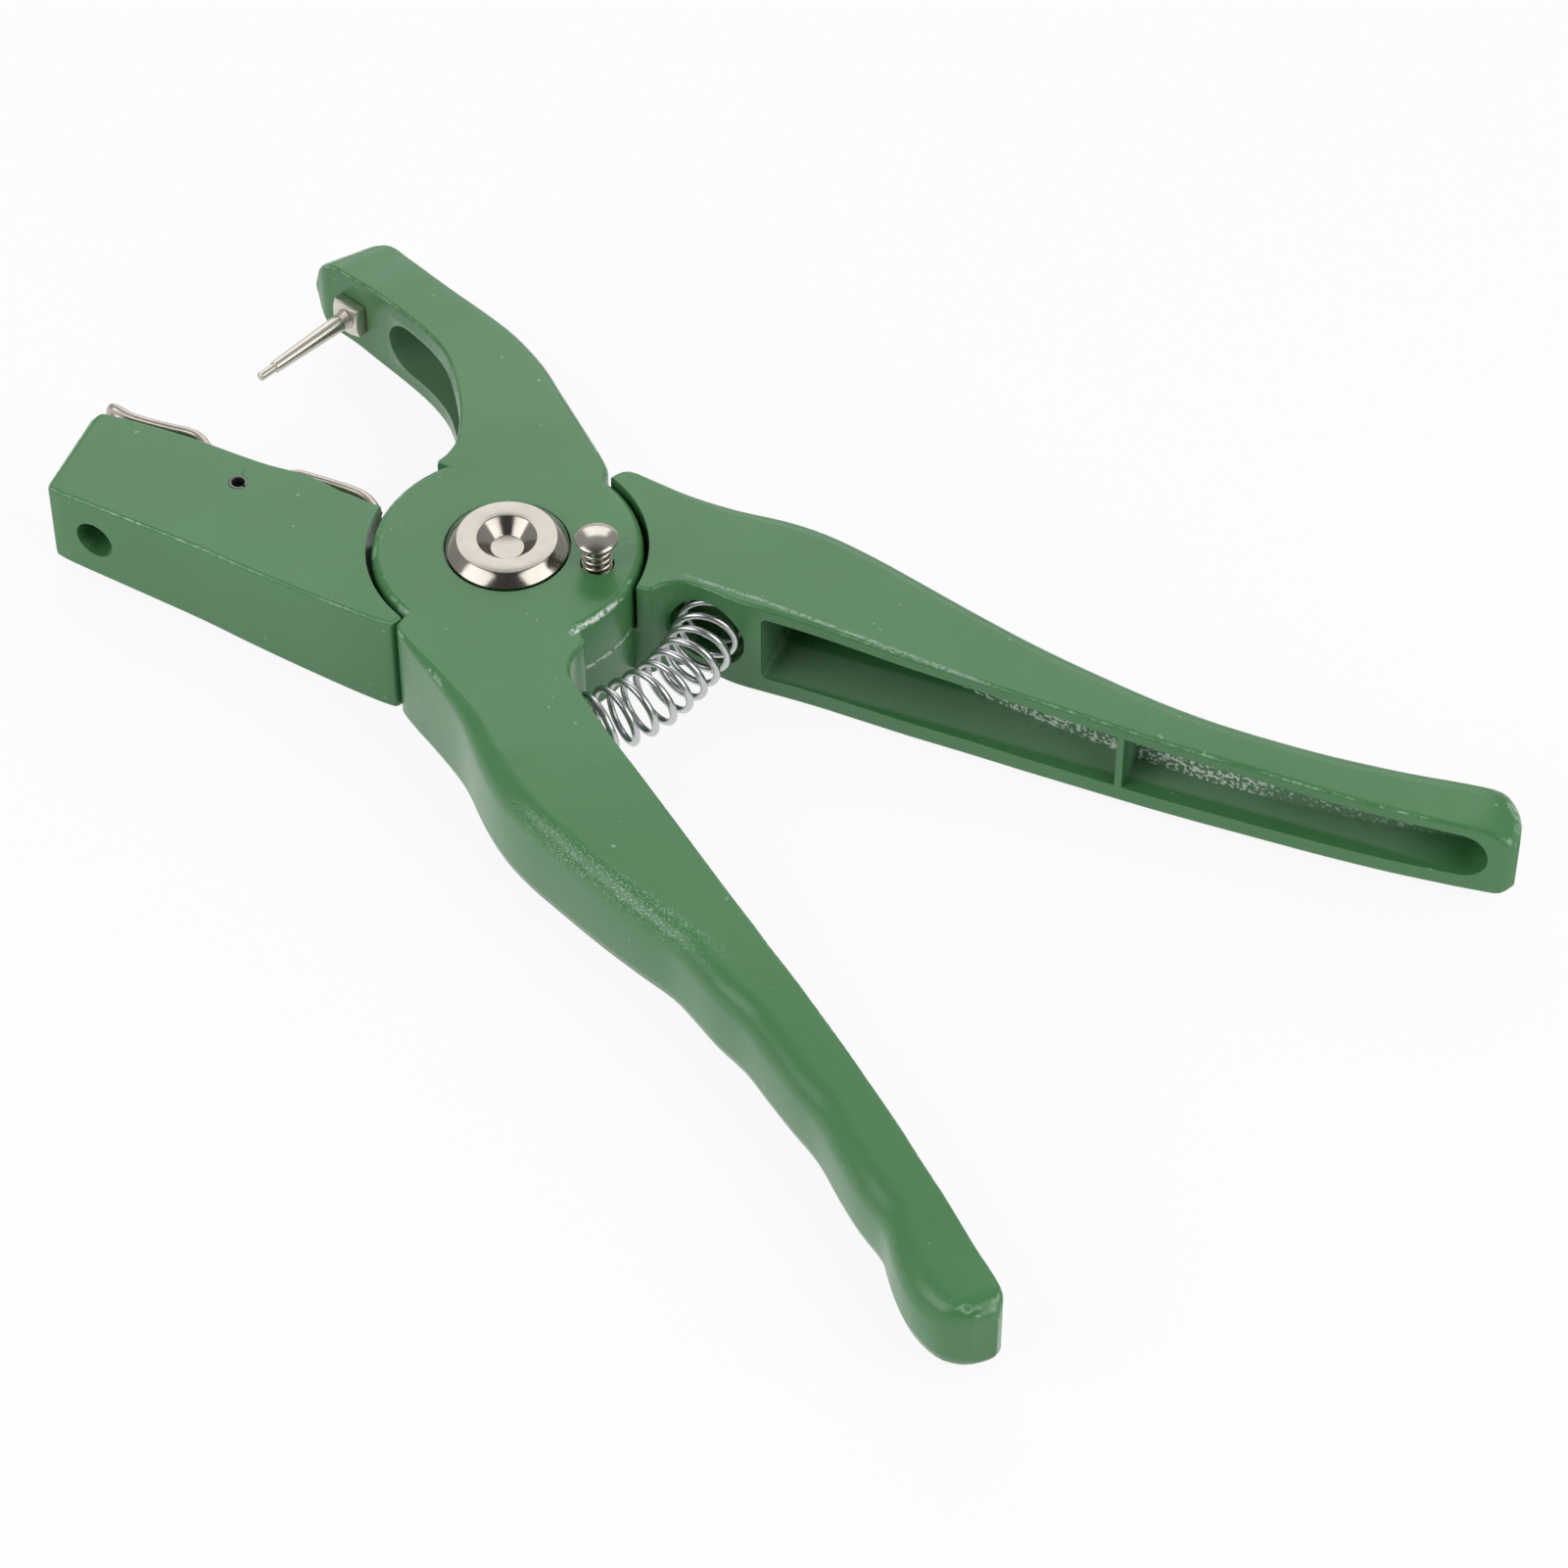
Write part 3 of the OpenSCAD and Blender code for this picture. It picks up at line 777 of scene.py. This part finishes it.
def is_crest(mesh: bpy.types.Mesh, face: bpy.types.MeshPolygon) -> bool:
    """Tells whether a face is the narrow middle facet of a crisp cast edge, which takes a painted
    edge highlight.

    Args:
        mesh: the casting's mesh.
        face: one of its faces.

    Returns:
        True for such a facet.
    """
    if not CREST_FLAT[0] < abs(face.normal.z) < CREST_FLAT[1]:
        return False
    corners = [mesh.vertices[index].co for index in face.vertices]
    longest = max((a - b).length for a, b in zip(corners, corners[1:] + corners[:1]))
    return face.area / max(longest, 0.01 * MM) < CREST_WIDTH


def mark_wear_highlight_edges(piece: bpy.types.Object, width: float, steps: int, degrees: float) -> None:
    """Rounds the sharp edges and marks their new faces for the wear and painted edge highlight.

    Args:
        piece: the piece.
        width: the rounding's width, in metres.
        steps: its segments.
        degrees: the least angle of an edge that is rounded.
    """
    labels = [bpy.data.materials.new(label) for label in ("flat", "worn")]
    piece.data.materials.clear()
    for label in labels:
        piece.data.materials.append(label)
    for face in piece.data.polygons:
        face.material_index = 0
    round_edges(piece, width, steps, degrees, 1)
    layer = piece.data.attributes.new(EDGE, "FLOAT", "FACE")
    for face in piece.data.polygons:
        # marked faces take the wear and the painted edge highlight
        marked = face.material_index == 1 or is_crest(piece.data, face)
        layer.data[face.index].value = float(marked)
        face.material_index = 0
    piece.data.materials.clear()
    for label in labels:
        bpy.data.materials.remove(label)


def turned(name: str, profile: list[tuple[float, float]], sides: int) -> bpy.types.Object:
    """Turns a profile round the Z axis ring by ring, as on a lathe.

    Args:
        name: the object's name.
        profile: radius and height of each ring, in metres, from the foot up.
        sides: points of each ring.

    Returns:
        The closed turned piece.
    """
    radius, height = profile[0]
    bpy.ops.object.select_all(action="DESELECT")
    bpy.ops.mesh.primitive_circle_add(
        vertices=sides, radius=radius, fill_type="NOTHING", location=(0, 0, height)
    )
    piece = bpy.context.object
    piece.name = name
    settle(piece)
    bpy.ops.object.mode_set(mode="EDIT")
    bpy.ops.mesh.select_all(action="SELECT")
    for wide, high in profile[1:]:
        rise = {"value": (0.0, 0.0, high - height)}
        bpy.ops.mesh.extrude_region_move(TRANSFORM_OT_translate=rise)
        grow = wide / radius
        bpy.ops.transform.resize(value=(grow, grow, 1.0), center_override=(0.0, 0.0, 0.0))
        radius, height = wide, high
    bpy.ops.object.mode_set(mode="OBJECT")
    close_ends(piece)
    return piece


def wire_ring(name: str, radius: float, thick: float, sides: int) -> bpy.types.Object:
    """Makes the upright outline of a wire, ready to be screwed round the Z axis.

    Args:
        name: the object's name.
        radius: distance of the wire's centre from the axis.
        thick: the wire's diameter.
        sides: the outline's points.

    Returns:
        The outline, its place in its mesh.
    """
    bpy.ops.object.select_all(action="DESELECT")
    bpy.ops.mesh.primitive_circle_add(
        vertices=sides,
        radius=thick / 2,
        location=(radius, 0, 0),
        rotation=(math.pi / 2, 0, 0),
    )
    ring = bpy.context.object
    ring.name = name
    settle(ring)
    return ring


def close_ends(piece: bpy.types.Object) -> None:
    """Fills the open ends of a tube and turns its faces outwards.

    Args:
        piece: the tube.
    """
    only(piece)
    bpy.ops.object.mode_set(mode="EDIT")
    bpy.ops.mesh.select_all(action="DESELECT")
    bpy.ops.mesh.select_non_manifold()
    bpy.ops.mesh.fill_holes(sides=0)
    bpy.ops.mesh.select_all(action="SELECT")
    bpy.ops.mesh.normals_make_consistent(inside=False)
    bpy.ops.object.mode_set(mode="OBJECT")


def coil(
    name: str,
    radius: float,
    thick: float,
    pitch: float,
    turns: int,
    steps: int,
    sides: int = 12,
) -> bpy.types.Object:
    """Screws a wire outline into a coil that rises from the origin.

    Args:
        name: the object's name.
        radius: the coil's middle radius.
        thick: the wire's diameter.
        pitch: the rise of each turn.
        turns: number of turns.
        steps: rings in each turn.
        sides: points of the wire's outline.

    Returns:
        The coil.
    """
    piece = wire_ring(name, radius, thick, sides)
    screw = piece.modifiers.new("turns", "SCREW")
    screw.angle = 2 * math.pi
    screw.screw_offset = pitch
    screw.iterations = turns
    screw.steps = steps
    screw.render_steps = steps
    screw.use_merge_vertices = False
    apply_all(piece)
    close_ends(piece)
    return piece


# ---- sub-assemblies ------------------------------------------------------


@dataclass
class Castings:
    """The two painted halves, with broken edges and smooth grips."""

    edge: float = 0.22 * MM
    steps: int = 2
    sharp: float = 38.0

    def build(self, finishes: Finishes) -> None:
        """Makes both halves from the CAD solids.

        Args:
            finishes: the tool's finishes.
        """
        halves = (
            ("clip_half", Body.CLIP, finishes.clip_enamel),
            ("needle_half", Body.NEEDLE, finishes.needle_enamel),
        )
        for node, body, enamel in halves:
            piece = copy_of(node, node + "_casting")
            self.clean(piece)
            mark_wear_highlight_edges(piece, self.edge, self.steps, self.sharp)
            smooth(piece, 30.0)
            self.weigh(piece)
            dress(piece, enamel, Slot.ENAMEL, body, node)

    def clean(self, piece: bpy.types.Object) -> None:
        """Joins flat triangles into whole faces.

        Args:
            piece: the casting.
        """
        only(piece)
        bpy.ops.object.mode_set(mode="EDIT")
        bpy.ops.mesh.select_all(action="SELECT")
        bpy.ops.mesh.dissolve_limited(angle_limit=math.radians(0.4))
        bpy.ops.object.mode_set(mode="OBJECT")

    def weigh(self, piece: bpy.types.Object) -> None:
        """Lets the large faces lead the shading.

        Args:
            piece: the casting.
        """
        modifier = piece.modifiers.new("shading", "WEIGHTED_NORMAL")
        modifier.keep_sharp = True
        modifier.weight = 50
        apply_all(piece)


@dataclass
class Pivot:
    """The pivot's turned head and its flush nut; sizes in millimetres."""

    shank: float = 5.0
    under: float = 18.6
    head: float = 10.2
    rim_top: float = 20.3
    flat: float = 8.35
    top: float = 22.1
    dish: float = 2.75
    dish_floor: float = 19.75

    def build(self, finishes: Finishes) -> None:
        """Makes the pivot pieces.

        Args:
            finishes: the tool's finishes.
        """
        outline = [
            (self.shank - 0.5, 0.0),
            (self.shank, 0.5),
            (self.shank, self.under),
            (self.head - 0.6, self.under),
            (self.head, self.under + 1.5),
            (self.head, self.rim_top),
            (self.flat, self.top),
            (self.shank, self.top),
            (self.dish, self.dish_floor),
        ]
        head = turned("pivot_head", [(r * MM, z * MM) for r, z in outline], 128)
        round_edges(head, 0.09 * MM, 2, 20.0)
        smooth(head, 18.0)
        dress(head, finishes.pivot, Slot.NICKEL, Body.CLIP, "pivot_pin")
        nut = copy_of("pivot_nut", "pivot_round_nut")
        round_edges(nut, 0.15 * MM, 2, 40.0)
        smooth(nut, 25.0)
        dress(nut, finishes.pivot, Slot.NICKEL, Body.CLIP, "pivot_nut")


@dataclass
class LockButton:
    """The spring-loaded lock button with its ring and spring."""

    centre: tuple[float, float]
    floor: float = 15.0 * MM
    head_under: float = 25.2 * MM
    stem: float = 1.5 * MM
    foot: float = 10.2 * MM
    head: float = 3.6 * MM
    rim: float = 0.6 * MM
    dome: float = 1.1 * MM
    wire: float = 0.66 * MM
    radius: float = 2.34 * MM
    turns: int = 7

    def build(self, finishes: Finishes) -> None:
        """Makes the button, its ring and its spring.

        Args:
            finishes: the tool's finishes.
        """
        button = turned("lock_button_pin", self.outline(), 64)
        button.location = (self.centre[0], self.centre[1], 0.0)
        settle(button)
        smooth(button, 28.0)
        dress(button, finishes.lock, Slot.NICKEL, Body.LOCK, "lock_pin")
        ring = copy_of("lock_ring", "lock_retaining_ring")
        smooth(ring, 28.0)
        dress(ring, finishes.nut, Slot.NICKEL, Body.LOCK, "lock_ring")
        rise = self.head_under - self.floor - self.wire - 0.06 * MM
        spring = coil(
            "lock_coil", self.radius, self.wire, rise / self.turns, self.turns, 40, 12
        )
        foot = self.floor + self.wire / 2 + 0.03 * MM
        spring.location = (self.centre[0], self.centre[1], foot)
        settle(spring)
        smooth(spring, 50.0)
        dress(spring, finishes.coil, Slot.ZINC, None, "lock_spring")
        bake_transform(spring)

    def outline(self) -> list[tuple[float, float]]:
        """Works out the button's stem, thin rim and low dome.

        Returns:
            Radius and height of each ring, in metres.
        """
        ball = (self.head**2 + self.dome**2) / (2 * self.dome)
        span = math.asin(self.head / ball)
        base = self.head_under + self.rim + self.dome - ball
        arc = [span * (1 - k / 12) for k in range(1, 12)]
        return [
            (self.stem, self.foot),
            (self.stem, self.head_under),
            (self.head - 0.3 * MM, self.head_under),
            (self.head - 0.06 * MM, self.head_under + 0.14 * MM),
            (self.head, self.head_under + 0.32 * MM),
            (self.head - 0.04 * MM, self.head_under + self.rim - 0.04 * MM),
            *[(ball * math.sin(turn), base + ball * math.cos(turn)) for turn in arc],
        ]


@dataclass
class HandleSpring:
    """The coil between the handles, curved round the pivot."""

    at: float = 34.4 * MM
    high: float = 22.6
    low: float = -28.6
    seat: float = 7.0 * MM
    wire: float = 1.2 * MM
    outer: float = 11.5 * MM
    turns: int = 13
    middle: float = 10.0 * MM

    def build(self, finishes: Finishes) -> None:
        """Makes the coil and curves it round the pivot between the handles.

        Args:
            finishes: the tool's finishes.
        """
        arc = self.at * math.radians(self.high - self.low)
        ends = self.seat - self.wire / 2 - 0.05 * MM
        whole = arc + 2 * ends
        piece = coil(
            "handle_coil",
            (self.outer - self.wire) / 2,
            self.wire,
            whole / self.turns,
            self.turns,
            40,
            16,
        )
        for vertex in piece.data.vertices:
            vertex.co = self.curved(vertex.co, arc, ends)
        piece.data.update()
        outward(piece)
        smooth(piece, 50.0)
        dress(piece, finishes.zinc, Slot.ZINC, None, "main_spring")
        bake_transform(piece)

    def point(self, degrees: float) -> tuple[float, float, float]:
        """Finds a point of the spring's middle line.

        Args:
            degrees: the point's angle round the pivot.

        Returns:
            The point in metres.
        """
        turn = math.radians(degrees)
        return (self.at * math.cos(turn), self.at * math.sin(turn), self.middle)

    def curved(self, co: Vector, arc: float, ends: float) -> Vector:
        """Moves a point of the straight coil onto the curved one.

        Args:
            co: the point of the straight coil.
            arc: the length of the curved stretch.
            ends: the length of each straight end.

        Returns:
            The point on the curved coil.
        """
        run = co.z - ends
        on = min(max(run, 0.0), arc)
        past = run - on
        turn = math.radians(self.low + (self.high - self.low) * on / arc)
        reach = self.at + co.x
        return Vector(
            (
                reach * math.cos(turn) - past * math.sin(turn),
                reach * math.sin(turn) + past * math.cos(turn),
                self.middle - co.y,
            )
        )


@dataclass
class NeedleSet:
    """The tapered needle, its fine thread and its square nut; sizes in millimetres."""

    foot: tuple[float, float, float] = (-66.0, 32.95, 10.0)
    degrees: float = 267.0
    shank: float = 1.55
    thread: float = 1.95
    thread_pitch: float = 0.34
    thread_turns: int = 4
    thread_depth: float = 0.14
    nut_across: float = 5.8
    nut_from: float = 0.15
    nut_to: float = 2.35
    nut_flat: float = 3.05
    shoulder: float = 19.3
    shoulder_radius: float = 1.05
    tip: float = 22.6
    tip_radius: float = 0.8

    def build(self, finishes: Finishes) -> None:
        """Makes the needle with its thread, and the nut.

        Args:
            finishes: the tool's finishes.
        """
        needle = turned("tag_needle", [(r * MM, z * MM) for r, z in self.outline()], 48)
        self.aim(needle)
        smooth(needle, 32.0)
        dress(needle, finishes.needle, Slot.NICKEL, Body.NEEDLE, "needle")
        nut = self.square_nut()
        self.aim(nut)
        round_edges(nut, 0.12 * MM, 2, 30.0)
        smooth(nut, 25.0)
        dress(nut, finishes.nut, Slot.NICKEL, Body.NEEDLE, "needle_nut")

    def outline(self) -> list[tuple[float, float]]:
        """Works out the needle's rings from its hidden end.

        Returns:
            Radius and height of each ring, in millimetres.
        """
        rings = [(self.shank, -7.9), (self.shank, 1.0), (self.thread, 1.3)]
        for turn in range(self.thread_turns):
            crest = self.thread - 0.1 * turn
            start = self.nut_to + 0.02 + turn * self.thread_pitch
            rings += [
                (crest, start),
                (crest, start + self.thread_pitch * 0.35),
                (crest - self.thread_depth, start + self.thread_pitch * 0.65),
            ]
        runout = rings[-1][1] + 0.35
        rings += [
            (self.shank - 0.02, runout),
            (self.shank - 0.04, runout + 0.8),
            (self.shoulder_radius + 0.02, self.shoulder - 0.08),
            (self.shoulder_radius - 0.07, self.shoulder),
            (self.tip_radius, self.shoulder + 0.04),
            (self.tip_radius - 0.02, self.tip - 0.12),
            (self.tip_radius - 0.12, self.tip),
        ]
        return rings

    def square_nut(self) -> bpy.types.Object:
        """Makes the square nut with its turned front chamfer and its bore.

        Returns:
            The nut on the Z axis.
        """
        thick = self.nut_to - self.nut_from
        middle = (self.nut_to + self.nut_from) / 2 * MM
        bpy.ops.object.select_all(action="DESELECT")
        bpy.ops.mesh.primitive_cube_add(size=1.0, location=(0.0, 0.0, middle))
        nut = bpy.context.object
        nut.name = "needle_lock_nut"
        nut.scale = (self.nut_across * MM, self.nut_across * MM, thick * MM)
        settle(nut)
        bpy.ops.mesh.primitive_cone_add(
            vertices=96,
            radius1=(self.nut_flat + 1.73 * thick) * MM,
            radius2=self.nut_flat * MM,
            depth=thick * MM,
            location=(0.0, 0.0, middle),
        )
        self.cut(nut, bpy.context.object, "INTERSECT")
        bpy.ops.mesh.primitive_cylinder_add(
            vertices=64, radius=(self.shank + 0.02) * MM, depth=3 * thick * MM,
            location=(0.0, 0.0, middle),
        )
        self.cut(nut, bpy.context.object, "DIFFERENCE")
        return nut

    def cut(self, piece: bpy.types.Object, tool: bpy.types.Object, how: str) -> None:
        """Cuts a piece with a tool shape and removes the tool.

        Args:
            piece: the piece.
            tool: the shape that cuts.
            how: the operation's name.
        """
        modifier = piece.modifiers.new("cut", "BOOLEAN")
        modifier.operation = how
        modifier.solver = "EXACT"
        modifier.object = tool
        apply_all(piece)
        bpy.data.objects.remove(tool, do_unlink=True)

    def aim(self, piece: bpy.types.Object) -> None:
        """Lays a piece made on the Z axis along the needle's line.

        Args:
            piece: the piece.
        """
        piece.location = Vector(self.foot) * MM
        piece.rotation_euler = (0.0, math.radians(90.0), math.radians(self.degrees))
        settle(piece)


@dataclass
class TagClip:
    """The bent wire clip on the clip jaw and its rolled pin."""

    thick: float = 1.7 * MM
    lower: float = 0.28
    half_width: float = 5.5 * MM
    middle: float = 10.0 * MM
    face_turn: float = 13.7
    leg: tuple[tuple[float, float], ...] = (
        (77.9, 3.7), (76.6, 3.5), (74.6, 3.1), (71.7, 3.2), (67.0, 3.7), (62.4, 4.2),
        (60.6, 3.6), (58.2, 2.2), (55.0, 2.0), (53.8, 1.0), (51.9, -3.0), (50.7, -6.4),
        (49.5, -8.3), (47.9, -9.0), (46.3, -8.3), (45.1, -6.4), (44.0, -2.0), (43.1, 2.4),
        (42.2, 3.4), (39.7, 3.8), (35.2, 4.1), (32.0, 4.2), (29.4, 3.9), (27.1, 2.8),
        (25.2, 1.2),
    )
    bend_out: float = 1.4
    bend_up: float = 0.6

    def on_face(self, along: float, up: float, height: float) -> Vector:
        """Returns a point given along the jaw's inner face and off it.

        Args:
            along: distance from the pivot along the face, in millimetres.
            up: distance off the face, in millimetres.
            height: height of the point, in metres.

        Returns:
            The point in metres.
        """
        turn = math.radians(self.face_turn)
        return Vector(
            (
                (-along * math.cos(turn) - up * math.sin(turn)) * MM,
                (-along * math.sin(turn) + up * math.cos(turn)) * MM,
                height,
            )
        )

    def path(self) -> list[Vector]:
        """Lists the wire's points from one hub end round the tip to the other.

        Returns:
            The points in metres.
        """
        leg = [(s, u - self.lower) for s, u in self.leg]
        lower = [self.on_face(s, u, self.middle - self.half_width) for s, u in leg]
        upper = [self.on_face(s, u, self.middle + self.half_width) for s, u in leg]
        tip_s, tip_u = leg[0]
        bend = [
            self.on_face(
                tip_s + self.bend_out * math.sin(math.pi * k / 8),
                tip_u + self.bend_up * math.sin(math.pi * k / 8),
                self.middle - self.half_width * math.cos(math.pi * k / 8),
            )
            for k in range(1, 8)
        ]
        return lower[::-1] + bend + upper

    def build(self, finishes: Finishes) -> None:
        """Makes the wire clip and the rolled pin.

        Args:
            finishes: the tool's finishes.
        """
        curve = bpy.data.curves.new("tag_clip_wire", "CURVE")
        curve.dimensions = "3D"
        curve.resolution_u = 5
        curve.bevel_depth = self.thick / 2
        curve.bevel_resolution = 4
        curve.use_fill_caps = True
        points = self.path()
        spline = curve.splines.new("BEZIER")
        spline.bezier_points.add(len(points) - 1)
        for knot, point in zip(spline.bezier_points, points):
            knot.co = point
            knot.handle_left_type = "AUTO"
            knot.handle_right_type = "AUTO"
        wire = bpy.data.objects.new("tag_clip_wire", curve)
        bpy.context.scene.collection.objects.link(wire)
        only(wire)
        bpy.ops.object.convert(target="MESH")
        wire = bpy.context.object
        outward(wire)
        smooth(wire, 50.0)
        dress(wire, finishes.wire, Slot.CLIP_WIRE, Body.CLIP, "tag_clip")
        pin = copy_of("clip_pin", "rolled_clip_pin")
        round_edges(pin, 0.1 * MM, 2, 50.0)
        smooth(pin, 28.0)
        dress(pin, finishes.rolled, Slot.DARK, Body.CLIP, "clip_pin")


# ---- studio --------------------------------------------------------------


@dataclass(frozen=True)
class Lamp:
    """A square soft lamp, placed in the photograph's own directions, in metres."""

    name: str
    place: tuple[float, float, float]
    size: float
    power: float


@dataclass
class Studio:
    """The pale floor, the soft lights and the photograph's camera."""

    focal_px: float = 5500.0
    frame_px: float = 1601.0
    elevation: float = 47.5
    turn: float = 40.0
    hub_px: tuple[float, float] = (518.0, 557.5)
    hub_radius_px: float = 139.5
    hub_radius: float = 22.5 * MM
    hub_top: float = HUB_TOP * MM
    sensor: float = 36.0
    white: tuple[float, float, float] = (0.97, 0.97, 0.97)
    sky_level: float = 0.45
    near_level: float = 0.09
    near_angles: tuple[float, float] = (60.0, 20.0)
    floor_glow: float = 0.9
    aim: tuple[float, float, float] = (0.04, 0.0, 0.01)
    lamps: tuple[Lamp, ...] = (
        Lamp("back_box", (0.0, 0.83, 0.54), 0.8, 2.9),
        Lamp("left_box", (-0.66, -0.38, 0.56), 0.7, 3.5),
        Lamp("right_box", (0.66, -0.38, 0.56), 0.7, 3.5),
    )

    def camera(self) -> None:
        """Sets the camera where the photograph was taken from."""
        tilt = math.radians(self.elevation)
        forward = Vector((0.0, math.cos(tilt), -math.sin(tilt)))
        up = Vector((0.0, math.sin(tilt), math.cos(tilt)))
        right = Vector((1.0, 0.0, 0.0))
        centre = self.frame_px / 2
        distance = self.focal_px / self.hub_radius_px * self.hub_radius
        side = (self.hub_px[0] - centre) / self.focal_px
        rise = -(self.hub_px[1] - centre) / self.focal_px
        place = Vector((0.0, 0.0, self.hub_top)) - distance * (forward + side * right + rise * up)
        spin = Matrix.Rotation(math.radians(self.turn), 4, "Z")
        axes = Matrix((right, up, -forward)).transposed().to_4x4()
        data = bpy.data.cameras.new("photo_camera")
        data.sensor_width = self.sensor
        data.lens = self.focal_px / self.frame_px * self.sensor
        data.clip_start = 0.01
        data.clip_end = 10.0
        camera = bpy.data.objects.new("photo_camera", data)
        bpy.context.scene.collection.objects.link(camera)
        camera.matrix_world = spin @ Matrix.Translation(place) @ axes
        bpy.context.scene.camera = camera

    def light(self, lamp: Lamp) -> None:
        """Adds a lamp that looks at the tool.

        Args:
            lamp: the lamp's place, size and power.
        """
        data = bpy.data.lights.new(lamp.name, "AREA")
        data.size = lamp.size
        data.energy = lamp.power
        box = bpy.data.objects.new(lamp.name, data)
        bpy.context.scene.collection.objects.link(box)
        box.location = Matrix.Rotation(math.radians(self.turn), 4, "Z") @ Vector(lamp.place)
        look = Vector(self.aim) - box.location
        box.rotation_euler = look.to_track_quat("-Z", "Y").to_euler()

    def backdrop(self) -> None:
        """Makes the pale floor that keeps a faint shadow."""
        bpy.ops.object.select_all(action="DESELECT")
        bpy.ops.mesh.primitive_plane_add(size=6.0, location=(0, 0, -0.2 * MM))
        floor = bpy.context.object
        floor.name = "floor"
        board = NodeBoard("pale_floor")
        board.set(Roughness=0.9, Specular_IOR_Level=0.1)
        board.shader.inputs["Base Color"].default_value = (*self.white, 1.0)
        glow = board.add("ShaderNodeEmission", Color=(1.0, 1.0, 1.0, 1.0), Strength=1.0)
        path = board.add("ShaderNodeLightPath")
        seen = board.math(
            "MAXIMUM", path.outputs["Is Camera Ray"], path.outputs["Is Glossy Ray"]
        )
        seen = board.math("MAXIMUM", seen, path.outputs["Is Transmission Ray"])
        mix = board.add("ShaderNodeMixShader")
        board.link(board.math("MULTIPLY", seen, self.floor_glow), mix.inputs[0])
        board.link(board.shader.outputs[0], mix.inputs[1])
        board.link(glow.outputs[0], mix.inputs[2])
        board.link(mix.outputs[0], board.tree.nodes["Material Output"].inputs["Surface"])
        floor.data.materials.append(board.material)

    def sky(self) -> None:
        """Sets a pale world that is darker round the photographer."""
        world = bpy.data.worlds.new("studio")
        bpy.context.scene.world = world
        world.use_nodes = True
        tree = world.node_tree
        tilt = math.radians(self.elevation)
        spin = Matrix.Rotation(math.radians(self.turn), 4, "Z")
        towards = spin @ Vector((0.0, -math.cos(tilt), math.sin(tilt)))
        place = tree.nodes.new("ShaderNodeTexCoord")
        near = tree.nodes.new("ShaderNodeVectorMath")
        near.operation = "DOT_PRODUCT"
        near.inputs[1].default_value = towards
        tree.links.new(place.outputs["Generated"], near.inputs[0])
        level = tree.nodes.new("ShaderNodeMapRange")
        level.interpolation_type = "SMOOTHSTEP"
        far, close = (math.cos(math.radians(angle)) for angle in self.near_angles)
        level.inputs["From Min"].default_value = far
        level.inputs["From Max"].default_value = close
        level.inputs["To Min"].default_value = self.sky_level
        level.inputs["To Max"].default_value = self.near_level
        tree.links.new(near.outputs["Value"], level.inputs["Value"])
        shade = tree.nodes["Background"]
        shade.inputs["Color"].default_value = (1.0, 1.0, 1.0, 1.0)
        tree.links.new(level.outputs["Result"], shade.inputs["Strength"])

    def build(self) -> None:
        """Sets up the floor, the lights and the camera."""
        bpy.context.scene.view_settings.view_transform = "Standard"
        self.sky()
        self.backdrop()
        for lamp in self.lamps:
            self.light(lamp)
        self.camera()


def main() -> None:
    """Builds the dressed tool and its studio."""
    logging.basicConfig(level=logging.INFO, format="%(name)s %(message)s")
    lock_centre = (LOCK_REACH * math.cos(LOCK_TURN), LOCK_REACH * math.sin(LOCK_TURN))
    finishes = Finishes(lock_centre)
    Castings().build(finishes)
    Pivot().build(finishes)
    LockButton(lock_centre).build(finishes)
    HandleSpring().build(finishes)
    NeedleSet().build(finishes)
    TagClip().build(finishes)
    Studio().build()


if __name__ == "__main__":
    main()
